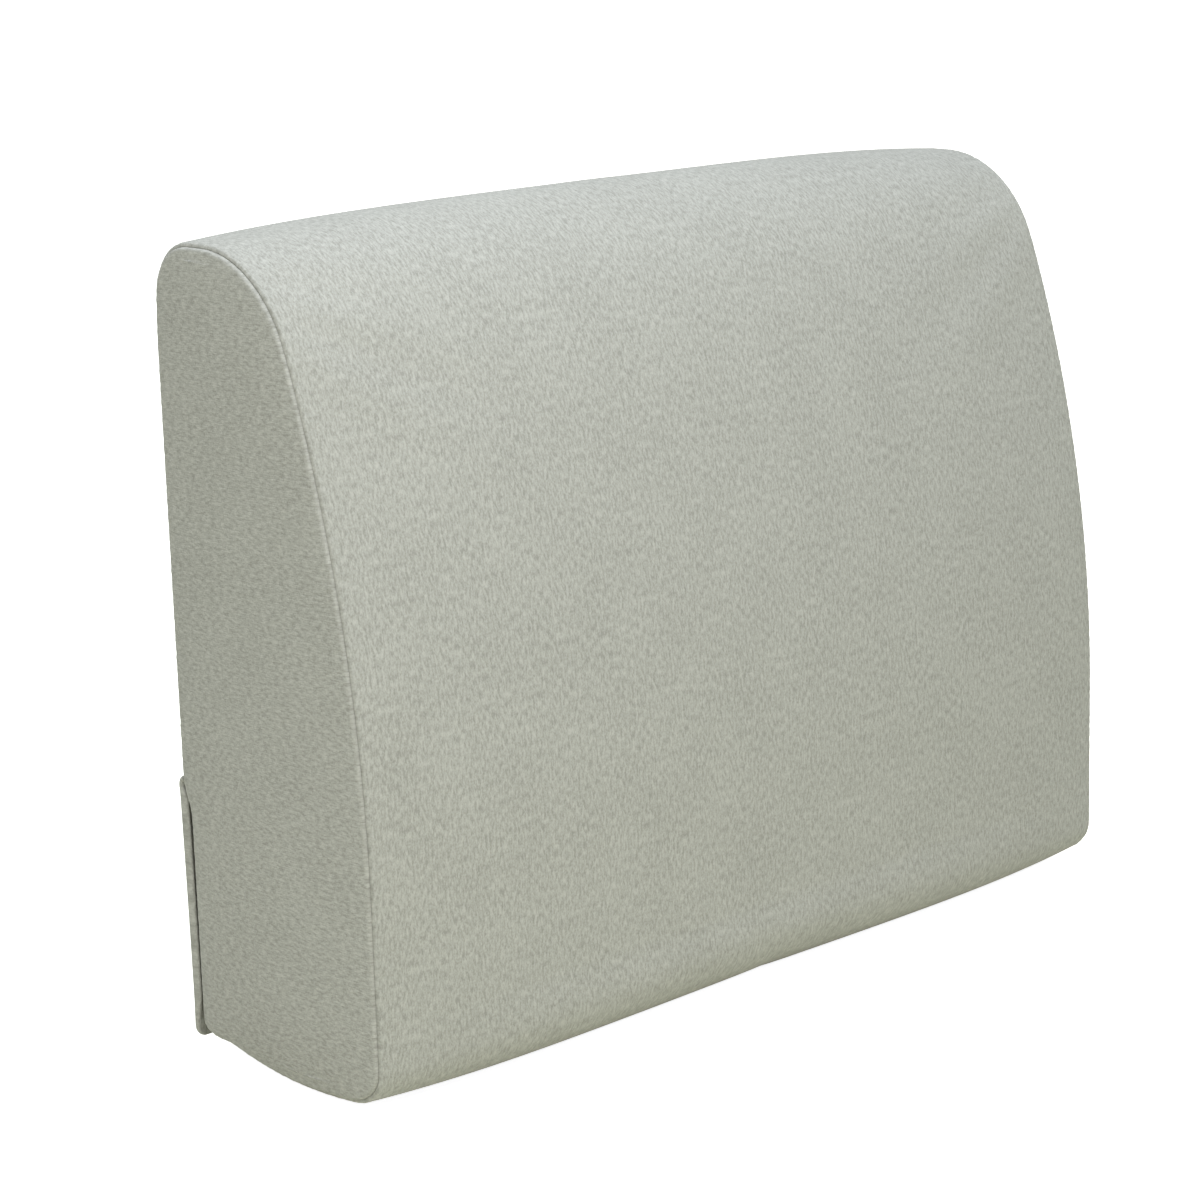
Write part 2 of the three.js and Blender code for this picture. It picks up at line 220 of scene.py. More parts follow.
def signed_volume(points, faces):
    """Six times the volume inside a closed mesh: the sum over the quads' two triangles of the
    triple product of their corners."""
    a, b, c, d = (points[faces[:, k]] for k in range(4))
    return (np.cross(a, b) * c).sum() + (np.cross(a, c) * d).sum()


def compact(points, faces, extra=None):
    """The same mesh without the points that no face uses."""
    used, flat = np.unique(faces, return_inverse=True)
    return points[used], flat.reshape(faces.shape), None if extra is None else extra[used]


def mesh_from(name, points, faces, weave=None):
    """A mesh of quads, a triangle being a quad whose last two corners are one. weave gives each
    point's place on the cloth, across and along its streaks, in metres."""
    points, faces, weave = compact(points, faces, weave)
    repeated = faces == np.roll(faces, 1, axis=1)
    keep = ~repeated
    good = keep.sum(1) >= 3
    faces, keep = faces[good], keep[good]
    counts = keep.sum(1).astype(np.int32)
    corners = faces[keep].astype(np.int32)
    mesh = bpy.data.meshes.new(name)
    mesh.vertices.add(len(points))
    mesh.vertices.foreach_set("co", points.astype(np.float32).ravel())
    mesh.loops.add(len(corners))
    mesh.loops.foreach_set("vertex_index", corners)
    mesh.polygons.add(len(counts))
    starts = np.concatenate([[0], np.cumsum(counts)[:-1]]).astype(np.int32)
    mesh.polygons.foreach_set("loop_start", starts)
    mesh.polygons.foreach_set("use_smooth", np.ones(len(counts), bool))
    mesh.update(calc_edges=True)
    if weave is not None:
        layer = mesh.uv_layers.new(name="weave")
        layer.data.foreach_set("uv", weave[corners].astype(np.float32).ravel())
    mesh.validate()
    return mesh


def new_object(name, mesh, material=None):
    obj = bpy.data.objects.new(name, mesh)
    bpy.context.scene.collection.objects.link(obj)
    if material is not None:
        mesh.materials.append(material)
    return obj


def add_piece(name, points, faces, material, slot, body="cushion", weave=None, replaces=()):
    """A finished piece that rides on a body, stands for some CAD nodes and has a finish."""
    obj = new_object(name, mesh_from(name, points, faces, weave), material)
    if body:
        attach(obj, body)
    if replaces:
        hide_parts(*replaces)
    return obj


def facing_out(points, faces, centre):
    """The faces, turned round if most of them face the centre."""
    a, b, c = (points[faces[:, k]] for k in range(3))
    out = (np.cross(b - a, c - a) * ((a + b + c) / 3 - centre)).sum()
    return faces if out > 0 else faces[:, ::-1]


def closed_out(points, faces):
    """The faces of a closed mesh, turned round if they face inwards."""
    return faces if signed_volume(points, faces) > 0 else faces[:, ::-1]


def graded(total, fine, coarse, growth=1.25):
    """Distances from 0 to total: steps are fine at both ends and grow by a factor to coarse."""
    steps = np.minimum(fine * growth ** np.arange(400), coarse)
    side = np.cumsum(steps)
    side = side[side < total / 2 - coarse / 2]
    count = max(2, math.ceil((total - 2 * side[-1]) / coarse) + 1)
    middle = np.linspace(side[-1], total - side[-1], count)
    return np.concatenate([[0], side[:-1], middle, (total - side[:-1])[::-1], [total]])


def bell(distance, width):
    """1 at no distance, falling to nothing over a few widths: exp(-(distance / width) squared)."""
    return np.exp(-((distance / width) ** 2))


def ease(t):
    """0 below 0, 1 above 1, and a smooth step between: t squared times (3 - 2t)."""
    t = np.clip(t, 0, 1)
    return t * t * (3 - 2 * t)


def unit(v):
    return v / np.maximum(np.linalg.norm(v, axis=-1, keepdims=True), 1e-12)


# ======================================================================== side outline
def arc(y, z, radius, start, end):
    """Points on a circle: the centre plus the radius times (cos a, sin a), a in even steps."""
    a = np.linspace(math.radians(start), math.radians(end), 80)
    return np.stack([y + radius * np.cos(a), z + radius * np.sin(a)], 1)


def line(*corners):
    return np.array(corners, float)


class Outline:
    """The cushion's side outline as a closed curve in (y, z), by its length from the lowest
    point: up the back, over the top and down the front."""

    STEP = 1 * MM
    BLUR = 3 * MM

    def __init__(self, c):
        points = self.corners(c)
        rise = np.clip(1 - points[:, 1] / c.rise_reach, 0, 1)
        points[:, 1] += rise * self.rise(points[:, 0], c)
        closed = np.vstack([points, points[:1]])
        step = np.linalg.norm(np.diff(closed, axis=0), axis=1)
        along = np.concatenate([[0], np.cumsum(step)])
        count = int(along[-1] / self.STEP)
        even = np.linspace(0, along[-1], count, endpoint=False)
        points = np.stack([np.interp(even, along, closed[:, k]) for k in (0, 1)], 1)
        points = self.blurred(points, along[-1] / count)
        points = np.roll(points, -int(np.argmin(points[:, 1])), 0)
        closed = np.vstack([points, points[:1]])
        step = np.linalg.norm(np.diff(closed, axis=0), axis=1)
        self.s = np.concatenate([[0], np.cumsum(step)])
        self.points = closed
        self.total = self.s[-1]
        tangent = unit(np.roll(points, -1, 0) - np.roll(points, 1, 0))
        normal = np.stack([tangent[:, 1], -tangent[:, 0]], 1)
        self.normals = np.vstack([normal, normal[:1]])
        middle = BACK - c.back_roll - c.top_flat / 2
        high = self.points[:, 1] > TOP / 2
        self.top = self.s[high][np.argmin(np.abs(self.points[high, 0] - middle))]

    @staticmethod
    def corners(c):
        """Arcs and lines: heel, step of the back, back roll, front roll, belly and toe. The
        belly's circle leaves the upright front and touches the front roll from outside, so
        the distance between their centres is the difference of the radii."""
        front_y = BACK - c.back_roll - c.top_flat
        front_z = TOP - c.front_roll
        across, down = FRONT - front_y, c.belly_height - front_z
        belly = (c.front_roll**2 - across**2 - down**2) / (2 * (across + c.front_roll))
        slope = math.degrees(math.atan2(front_z - c.belly_height, front_y - FRONT - belly))
        heel = LOWER_BACK - c.heel_radius
        toe = FRONT + c.toe_radius
        t = np.linspace(0, 1, 60)
        step = np.stack(
            [
                LOWER_BACK + (BACK - LOWER_BACK) * (0.5 - 0.5 * np.cos(math.pi * t)),
                FLAP_SEAM - c.step_height * (1 - t),
            ],
            1,
        )
        return np.vstack(
            [
                arc(heel, c.heel_radius, c.heel_radius, -90, 0),
                step,
                arc(BACK - c.back_roll, TOP - c.back_roll, c.back_roll, 0, 90),
                arc(front_y, front_z, c.front_roll, 90, slope),
                arc(FRONT + belly, c.belly_height, belly, slope, 180),
                arc(toe, c.toe_radius, c.toe_radius, 180, 270),
                line(*((y, 0) for y in np.linspace(toe, heel, 60))),
            ]
        )

    @staticmethod
    def rise(y, c):
        """Height of the curved base: a parabola each way from its lowest line, level again
        before the heel."""
        lowest, front_reach, back_reach = -16 * MM, 47 * MM, 66 * MM
        front = c.toe_rise * (np.minimum(y - lowest, 0) / front_reach) ** 2
        back = c.heel_rise * np.minimum((np.maximum(y - lowest, 0) / back_reach) ** 2, 1)
        return front + back

    def blurred(self, points, step):
        """The closed curve averaged along itself, with the weights of a bell."""
        reach = int(4 * self.BLUR / step)
        offsets = np.arange(-reach, reach + 1)
        weights = bell(offsets * step, self.BLUR * math.sqrt(2))
        weights /= weights.sum()
        return sum(w * np.roll(points, int(k), 0) for k, w in zip(offsets, weights))

    def at(self, s):
        return self._between(self.points, s)

    def out(self, s):
        return unit(self._between(self.normals, s))

    def _between(self, values, s):
        s = np.mod(s, self.total)
        return np.stack([np.interp(s, self.s, values[:, k]) for k in (0, 1)], -1)

    def up_back(self, z):
        """Length along the curve to a height on the back."""
        part = (self.s > 30 * MM) & (self.s < self.top) & (self.points[:, 0] > BACK - 15 * MM)
        return np.interp(z, self.points[part, 1], self.s[part])


# ======================================================================== form of the cover
def corner(q, radius):
    """Section of a seamed corner, q being the distance from the seam along the cloth. Returns
    how far the cloth is inside the corner, along its own panel and below it, and the
    direction that the seam draws it in. The corner is a quarter circle that the seam halves;
    beyond the seam the cloth turns in along the diagonal."""
    turned = np.clip(q, 0, radius * math.pi / 4) / radius + math.pi / 4
    beyond = np.maximum(q - radius * math.pi / 4, 0)
    tucked = np.minimum(q, 0) * math.sqrt(0.5)
    along = radius * (1 - np.cos(turned)) + beyond - tucked * 1.06
    below = radius * (1 - np.sin(turned)) - tucked * 0.94
    return along, below, np.cos(turned), np.sin(turned)


def seam_corner(q, c):
    """The corner with its groove: a bell-shaped dip towards the middle of the corner."""
    along, below, towards, down = corner(q, c.seam_radius)
    dip = c.groove_depth * bell(np.maximum(q, 0), c.groove_width)
    return along + dip * towards, below + dip * down


def gathers(s, seed):
    """Uneven small waves along a seam, about -1 to 1: a sum of sines of 4 to 13 mm."""
    chance = np.random.default_rng(seed)
    waves = (4.3, 5.4, 6.1, 7.7, 9.8, 13.1)
    phases = chance.uniform(0, 2 * math.pi, len(waves))
    parts = (np.sin(2 * math.pi * s / (w * MM) + p) for w, p in zip(waves, phases))
    return sum(parts) / math.sqrt(len(waves))


def beside_seam(q):
    """Where gathers show: nothing at the seam, most 3 mm from it, gone after 12 mm."""
    q = np.maximum(q, 0)
    return bell(q, 6 * MM) * (1 - bell(q, 1.6 * MM))


def spline(values, row, column, wrap):
    """Values of a coarse grid between its points: the sum over 4 x 4 neighbours weighted by
    the cubic B-spline of each axis. wrap joins the last row to the first."""

    def weights(f):
        g = 1 - f
        inner = (3 * f**3 - 6 * f**2 + 4) / 6
        return g**3 / 6, inner, 1 - g**3 / 6 - inner - f**3 / 6, f**3 / 6

    i, j = np.floor(row).astype(int), np.floor(column).astype(int)
    rows, columns = values.shape[:2]
    total = 0
    for a, wa in enumerate(weights(row - i)):
        ia = i + a - 1
        ia = np.mod(ia, rows) if wrap else np.clip(ia, 0, rows - 1)
        for b, wb in enumerate(weights(column - j)):
            jb = np.clip(j + b - 1, 0, columns - 1)
            total = total + (wa * wb)[..., None] * values[ia, jb]
    return total


class Form:
    """The stuffed cover. The tube is what goes round from the heel up the back, over the top
    and down the front: a function of s, the length round the outline, and of x. An end is a
    side panel: a function of v, from 0 at the lowest point to 1 at the top, and of c, from 0
    at the back seam to 1 at the front seam."""

    ROWS = 66
    COLUMNS = 61
    END_COLUMNS = 21
    STRIP = 8 * MM
    STRIP_SHARE = 0.15

    def __init__(self, c):
        self.c = c
        self.outline = Outline(c)
        self.half = HALF
        self.swell_tube = np.zeros((2 * self.ROWS, self.COLUMNS, 3))
        self.swell_end = {side: np.zeros((self.ROWS + 1, self.END_COLUMNS, 3)) for side in (-1, 1)}
        self.stuff()

    def near_top(self, s):
        """1 at the top of the outline, nothing from 60 mm below it."""
        return ease((self.outline.at(s)[..., 1] - (TOP - 60 * MM)) / (50 * MM))

    def inset(self, s):
        """How far inside the outline a side seam is sewn: the slack at the top."""
        return self.c.slack * self.near_top(s)

    def fullness(self, s, x):
        """How far the cut of the tube stands out: the top's and the toe's share, times one
        less the fourth power of the way from the middle to a side seam."""
        y, z = np.moveaxis(self.outline.at(s), -1, 0)
        toe = ease((-y - 30 * MM) / (40 * MM)) * ease((50 * MM - z) / (40 * MM))
        cut = (self.c.slack + self.c.top_fullness) * self.near_top(s) + self.c.toe_fullness * toe
        return cut * (1 - np.clip(np.abs(x) / self.half, 0, 1) ** 4)

    def rail(self, v, front):
        """Length round the outline of an end's seam, back or front, at v."""
        o = self.outline
        return o.total - v * (o.total - o.top) if front else v * o.top

    def row_of(self, s):
        """Row of the coarse tube at s."""
        o = self.outline
        s = np.mod(s, o.total)
        up = s / o.top * self.ROWS
        down = 2 * self.ROWS - (o.total - s) / (o.total - o.top) * self.ROWS
        return np.where(s < o.top, up, down)

    def tube(self, s, x, lift=0.0):
        """The outline at s, moved out by lift less the inset, at x across, plus the swell."""
        base, out = self.outline.at(s), self.outline.out(s)
        yz = base + out * (lift - self.inset(s) + self.fullness(s, x))[..., None]
        points = np.concatenate([np.broadcast_to(x, yz.shape[:-1])[..., None], yz], -1)
        column = (x / self.half + 1) / 2 * (self.COLUMNS - 1)
        swell = spline(self.swell_tube, self.row_of(s), np.clip(column, 0, self.COLUMNS - 1), True)
        return points + swell * ease((self.half - np.abs(x)) / self.STRIP)[..., None]

    def end(self, v, c, side, radius=1e-9, dip=False, depth=0.0):
        """An end panel: strips that follow the outline inwards from each seam, and straight
        rows between them, plus the swell. side is -1 at the left and 1 at the right."""
        share, strip = self.STRIP_SHARE, self.STRIP
        front = c > 0.5
        near = np.where(front, 1 - c, c)
        q = np.minimum(near, share) / share * strip
        if dip:
            along, below = seam_corner(q, self.c)
        else:
            along, below = corner(q, radius)[:2]
        s = {f: self.rail(v, f) for f in (False, True)}
        rails = {}
        for f in (False, True):
            o, n = self.outline.at(s[f]), self.outline.out(s[f])
            rails[f] = o - n * (self.inset(s[f]) + along)[..., None]
        between = np.clip((c - share) / (1 - 2 * share), 0, 1)[..., None]
        yz = rails[False] * (1 - between) + rails[True] * between
        inwards = below + depth
        if dip:
            run = np.where(front, s[True], s[False])
            wave = gathers(run, 5 + side) * beside_seam(np.where(near < share, q, 1))
            inwards = inwards - self.c.pucker * wave
        x = side * (self.half - inwards)
        points = np.concatenate([x[..., None], yz], -1)
        place = np.clip(c, 0, 1) * (self.END_COLUMNS - 1)
        swell = spline(self.swell_end[side], v * self.ROWS, place, False)
        inside = np.where(near < share, q, strip)
        return points + swell * ease(inside / strip)[..., None]

    def stuff(self):
        """Fills the coarse cover: a closed mesh of the tube and both ends is blown up as
        cloth, held along its seams and its back, and what each point moves is kept, limited
        by a smooth cap."""
        tube_rows = np.arange(2 * self.ROWS)
        up = tube_rows / self.ROWS * self.outline.top
        down = self.rail((2 * self.ROWS - tube_rows) / self.ROWS, True)
        s = np.where(tube_rows <= self.ROWS, up, down)[:, None]
        x = np.linspace(-self.half, self.half, self.COLUMNS)[None]
        s, x = np.broadcast_arrays(s, x)
        grids = [self.tube(s, x)]
        index = {0: numbered(2 * self.ROWS, self.COLUMNS)}
        v, c = np.meshgrid(
            np.linspace(0, 1, self.ROWS + 1), np.linspace(0, 1, self.END_COLUMNS), indexing="ij"
        )
        first = index[0].size
        for side in (-1, 1):
            grids.append(self.end(v, c, side))
            own = numbered(self.ROWS + 1, self.END_COLUMNS, first)
            first += own.size
            own = folded(own)
            tips = (c > self.STRIP_SHARE + 0.01) & (c < 1 - self.STRIP_SHARE - 0.01)
            tips[1:-1] = False
            own[tips] = np.where(v < 0.5, own[0, 3], own[-1, 3])[tips]
            seam = index[0][:, 0 if side < 0 else -1]
            own[:, 0] = seam[: self.ROWS + 1]
            own[:, -1] = seam[(2 * self.ROWS - np.arange(self.ROWS + 1)) % (2 * self.ROWS)]
            index[side] = own
        points = np.concatenate([g.reshape(-1, 3) for g in grids])
        faces = np.concatenate(
            [
                quads(index[0], closed=True),
                facing_side(points, quads(index[-1]), -1),
                facing_side(points, quads(index[1]), 1),
            ]
        )
        tube = faces[: index[0].size - 2 * self.ROWS]
        faces[: len(tube)] = facing_out(points, tube, np.array([0, 0, TOP / 2]))
        held = self.held(points, index)
        moved = inflate(points, faces, held, self.c)
        back = ease((points[:, 1] - (BACK - 24 * MM)) / (18 * MM))
        back *= ease((TOP - 6 * MM - points[:, 2]) / (24 * MM)) * ease(points[:, 2] / (30 * MM))
        cap = self.c.crown + (self.c.back_crown - self.c.crown) * back
        cap[np.concatenate([index[-1].ravel(), index[1].ravel()])] = self.c.side_crown
        size = np.linalg.norm(moved, axis=1)
        moved *= (cap * np.tanh(size / cap) / np.maximum(size, 1e-9))[:, None]
        moved[held] = 0
        self.swell_tube = moved[index[0]]
        for side in (-1, 1):
            self.swell_end[side] = moved[index[side]]

    def held(self, points, index):
        """Points that don't move: the seams round both ends, and the back round the zip."""
        held = np.zeros(len(points), bool)
        held[index[0][:, [0, -1]].ravel()] = True
        zip_zone = (points[:, 1] > LOWER_BACK - 12 * MM) & (points[:, 2] < FLAP_SEAM + 8 * MM)
        held |= zip_zone & np.isin(np.arange(len(points)), index[0])
        return held


def facing_side(points, faces, side):
    """Faces of a side panel, turned to look along -X at the left and +X at the right."""
    a, b, c = (points[faces[:, k]] for k in range(3))
    across = np.cross(b - a, c - a)[:, 0].sum()
    return faces if across * side > 0 else faces[:, ::-1]


def inflate(points, faces, held, c):
    """Movement of each point of a closed mesh of cloth in 20 frames of inside pressure,
    without gravity. Held points are pinned."""
    used = np.unique(faces)
    mesh = mesh_from("cover_form", points, faces)
    obj = new_object("cover_form", mesh)
    start = np.zeros(len(mesh.vertices) * 3, np.float32)
    mesh.vertices.foreach_get("co", start)
    group = obj.vertex_groups.new(name="held")
    group.add([int(k) for k in np.flatnonzero(held[used])], 1.0, "REPLACE")
    cloth = obj.modifiers.new("Filling", "CLOTH")
    settings = cloth.settings
    settings.quality = 4
    settings.mass = 0.01
    settings.tension_stiffness = settings.compression_stiffness = 30
    settings.shear_stiffness = 12
    settings.bending_stiffness = 3
    settings.air_damping = 4
    settings.use_pressure = True
    settings.uniform_pressure_force = c.pressure
    settings.vertex_group_mass = "held"
    settings.pin_stiffness = 1
    settings.effector_weights.gravity = 0
    cloth.collision_settings.use_collision = False
    cloth.point_cache.frame_start, cloth.point_cache.frame_end = 1, 20
    scene = bpy.context.scene
    for step in range(1, 21):
        scene.frame_set(step)
    done = obj.evaluated_get(bpy.context.evaluated_depsgraph_get()).to_mesh()
    end = np.zeros(len(done.vertices) * 3, np.float32)
    done.vertices.foreach_get("co", end)
    scene.frame_set(1)
    bpy.data.objects.remove(obj)
    bpy.data.meshes.remove(mesh)
    moved = np.zeros((len(points), 3))
    moved[used] = (end - start).reshape(-1, 3)
    return moved


MADE = {}


def form():
    """The stuffed form that the panels are cut from, made once."""
    if "form" not in MADE:
        MADE["form"] = Form(bpy.context.scene.cushion_cover)
    return MADE["form"]


# ======================================================================== panels
def edge_rows(kind, c):
    """What a tube panel does past an edge, as (distance before the edge, height) pairs from
    the face inwards. A seam draws in and turns under; a fold goes round a half circle and
    back inside."""
    if kind == "seam":
        return [(0.0, -c.tuck)]
    r = c.cloth * 1.06
    turn = np.linspace(0, math.pi, 9)[1:]
    rows = [(r - r * math.sin(a), r * (math.cos(a) - 1)) for a in turn]
    return rows + [(8 * MM, -2 * r)]


def panel_rows(s0, s1, start, end, c, coarse):
    """Lengths round the outline and heights of a tube panel's rows: graded between the edges,
    with a bell-shaped dip at a seam, and what each edge does past the face."""
    lead = 0 if start == "seam" else c.cloth * 1.06
    tail = 0 if end == "seam" else c.cloth * 1.06
    across = lead + graded(s1 - s0 - lead - tail, 0.45 * MM, coarse)
    height = np.zeros_like(across)
    if start == "seam":
        height -= c.groove_depth * bell(across, c.groove_width)
    if end == "seam":
        height -= c.groove_depth * bell(s1 - s0 - across, c.groove_width)
    before, after = np.array(edge_rows(start, c)), np.array(edge_rows(end, c))
    s = np.concatenate([s0 + before[::-1, 0], s0 + across, s1 - after[:, 0]])
    return s, np.concatenate([before[::-1, 1], height, after[:, 1]])


def tube_panel(name, s0, s1, start, end, seed, coarse=1.5 * MM):
    """A panel of the tube, from seam to seam across and from s0 to s1 round the outline."""
    c, f = bpy.context.scene.cushion_cover, form()
    s, height = panel_rows(s0, s1, start, end, c, coarse)
    width = 2 * f.half
    q = graded(width, 0.5 * MM, 12 * MM, 1.22)
    q = np.concatenate([[-c.tuck], q, [width + c.tuck]])
    near = np.minimum(q, width - q)
    along, below = seam_corner(near, c)
    x = np.where(q < width / 2, along - f.half, f.half - along)
    s_grid, x_grid = np.meshgrid(s, x, indexing="ij")
    lift = height[:, None] - below[None]
    seeds = np.where(x_grid < 0, gathers(s_grid, seed), gathers(s_grid, seed + 1))
    lift = lift + c.pucker * seeds * beside_seam(near)[None]
    points = f.tube(s_grid, x_grid, lift).reshape(-1, 3)
    faces = quads(numbered(len(s), len(x)))
    faces = facing_out(points, faces, np.array([0, 0, TOP / 2]))
    weave = np.stack([x_grid, s_grid], -1).reshape(-1, 2)
    piece = add_piece(
        name, points, faces, material("cover_cloth"), "cover_cloth", weave=weave,
        replaces=[name],
    )
    thicken(piece, c.cloth)
    return piece


def thicken(piece, depth):
    """Gives a single surface its thickness, inwards."""
    solid = piece.modifiers.new("Cloth thickness", "SOLIDIFY")
    solid.thickness = depth
    solid.offset = -1
    solid.use_even_offset = False
    solid.use_rim = True


def side_panel(side, name):
    """A D-shaped side panel: an end of the form with rounded, grooved and gathered edges."""
    c, f = bpy.context.scene.cushion_cover, form()
    share, strip = f.STRIP_SHARE, f.STRIP
    q = np.concatenate([[-c.tuck / MM], [0, 0.5, 1, 1.5, 2.1, 2.8, 3.6, 4.6, 5.8, 6.9, 8]]) * MM
    edge = q / strip * share
    inner = np.linspace(share, 1 - share, 20)[1:-1]
    columns = np.concatenate([edge, inner, 1 - edge[::-1]])
    rows = np.linspace(0, 1, 420)
    v, cc = np.meshgrid(rows, columns, indexing="ij")
    points = f.end(v, cc, side, dip=True)
    weave = points[..., [2, 1]].reshape(-1, 2)
    points = points.reshape(-1, 3)
    faces = facing_side(points, quads(folded(numbered(len(rows), len(columns)))), side)
    piece = add_piece(
        name, points, faces, material("cover_cloth"), "cover_cloth", weave=weave, replaces=[name]
    )
    thicken(piece, c.cloth)
    return piece


# ======================================================================== small shapes
def slab(centre, normal, thickness, closed=False):
    """A thin pad: two faces, half the thickness either side of a centre surface, that meet
    along the rim, where the thickness is nothing. closed joins the last row to the first,
    which leaves a hole in the middle."""
    rows, columns = thickness.shape
    step = normal * (thickness / 2)[..., None]
    points = np.concatenate([(centre + step).reshape(-1, 3), (centre - step).reshape(-1, 3)])
    front, back = numbered(rows, columns), numbered(rows, columns, rows * columns)
    back[:, [0, -1]] = front[:, [0, -1]]
    if not closed:
        back[[0, -1]] = front[[0, -1]]
    faces = np.concatenate([quads(front, closed), quads(back, closed)[:, ::-1]])
    return points, closed_out(points, faces)


def rounding(distance, radius):
    """Share of the thickness near a rim: a quarter circle that is full at one radius in."""
    return np.sqrt(np.clip(1 - (1 - np.clip(distance / radius, 0, 1)) ** 2, 0, 1))


def strip_pad(half_x, reach, corner_radius, coarse, fine=0.4 * MM):
    """Places of a pad with rounded corners: u across and w from one end to the other, with
    the distance to the nearest side and end. A row near an end is shorter by the corner's
    circle."""
    u = graded(2 * half_x, fine, coarse) - half_x
    w = graded(reach, fine, coarse)
    u, w = np.meshgrid(u, w, indexing="xy")
    end = np.minimum(w, reach - w)
    off = np.maximum(corner_radius - end, 0)
    cut = corner_radius - np.sqrt(np.maximum(corner_radius**2 - off**2, 0))
    return u * (1 - cut / half_x), w, half_x - np.abs(u), end


def tube_along(path, first, second, radius, sides=6, flat=1.0):
    """A tube: at each point of the path a ring of the radius in the plane of the two given
    directions, the second one scaled by flat. It closes to a point at both ends."""
    a = np.linspace(0, 2 * math.pi, sides + 1)
    ring = first[:, None] * np.cos(a)[:, None] + second[:, None] * flat * np.sin(a)[:, None]
    radius = np.broadcast_to(radius, len(path)).copy()
    radius[[0, -1]] = 0
    points = (path[:, None] + ring * radius[:, None, None]).reshape(-1, 3)
    index = numbered(len(path), sides + 1)
    index[:, -1] = index[:, 0]
    index[0], index[-1] = index[0, 0], index[-1, 0]
    return points, quads(index)


def many(points, faces, origins, frames):
    """Copies of a small mesh: each point turned by a frame's three axes, then moved."""
    placed = np.einsum("pk,nkj->npj", points, frames) + origins[:, None]
    first = np.arange(len(origins))[:, None, None] * len(points)
    return placed.reshape(-1, 3), (faces[None] + first).reshape(-1, 4)


def stitch_shape(pitch, thread):
    """One stitch along X: a short thick thread whose ends sink into the cloth."""
    t = np.linspace(-1, 1, 7)
    path = np.stack([t * 0.42 * pitch, 0 * t, thread * (0.55 - 1.1 * t**2)], 1)
    first = np.broadcast_to([0.0, 1.0, 0.0], path.shape)
    second = np.broadcast_to([0.0, 0.0, 1.0], path.shape)
    return tube_along(path, first, second, thread * (1 - 0.35 * t**2))


def stitch_row(path, out):
    """Stitches along a line of points, one pitch apart, standing on the side of out."""
    sewing = bpy.context.scene.cushion_stitches
    step = np.linalg.norm(np.diff(path, axis=0), axis=1)
    along = np.concatenate([[0], np.cumsum(step)])
    at = np.arange(sewing.pitch / 2, along[-1], sewing.pitch)

    def place(values):
        return np.stack([np.interp(at, along, values[:, k]) for k in range(3)], 1)

    ahead = unit(place(np.gradient(path, axis=0)))
    up = unit(place(np.broadcast_to(out, path.shape)))
    frames = np.stack([ahead, np.cross(up, ahead), up], 1)
    return many(*stitch_shape(sewing.pitch, sewing.thread), place(path), frames)


def joined(parts):
    """Several meshes as one."""
    points, faces, first = [], [], 0
    for p, f in parts:
        points.append(p)
        faces.append(f + first)
        first += len(p)
    return np.concatenate(points), np.concatenate(faces)


def rounded_block(low, high, radius, steps=5):
    """A block with round edges: a sphere of the radius whose eight parts are pushed apart to
    the corners, so that point = middle + sign x (half size - radius) + radius x direction."""
    low, high = np.array(low), np.array(high)
    around = np.linspace(0, math.pi / 2, steps)
    around = np.concatenate([around + k * math.pi / 2 for k in range(4)])
    signs = np.repeat([(1, 1), (-1, 1), (-1, -1), (1, -1)], steps, axis=0)
    down = np.linspace(0, math.pi / 2, steps)
    down = np.concatenate([down, down + math.pi / 2])
    upper = np.repeat([1, -1], steps)
    a, b = np.meshgrid(np.append(around, 0), down, indexing="xy")
    direction = np.stack([np.sin(b) * np.cos(a), np.sin(b) * np.sin(a), np.cos(b)], -1)
    sign = np.empty_like(direction)
    sign[..., :2] = np.vstack([signs, signs[:1]])[None]
    sign[..., 2] = upper[:, None]
    points = (low + high) / 2 + sign * ((high - low) / 2 - radius) + radius * direction
    index = numbered(*a.shape)
    index[:, -1] = index[:, 0]
    caps = index[[0, -1], :-1]
    faces = [quads(index)]
    middle = points.reshape(-1, 3)[caps].mean(1)
    points = np.concatenate([points.reshape(-1, 3), middle])
    for k, ring in enumerate(caps):
        hub = np.full(len(ring), points.shape[0] - 2 + k)
        faces.append(np.stack([ring, np.roll(ring, -1), hub, hub], 1)[:, :: 1 if k else -1])
    faces = np.concatenate(faces)
    return points, closed_out(points, faces)


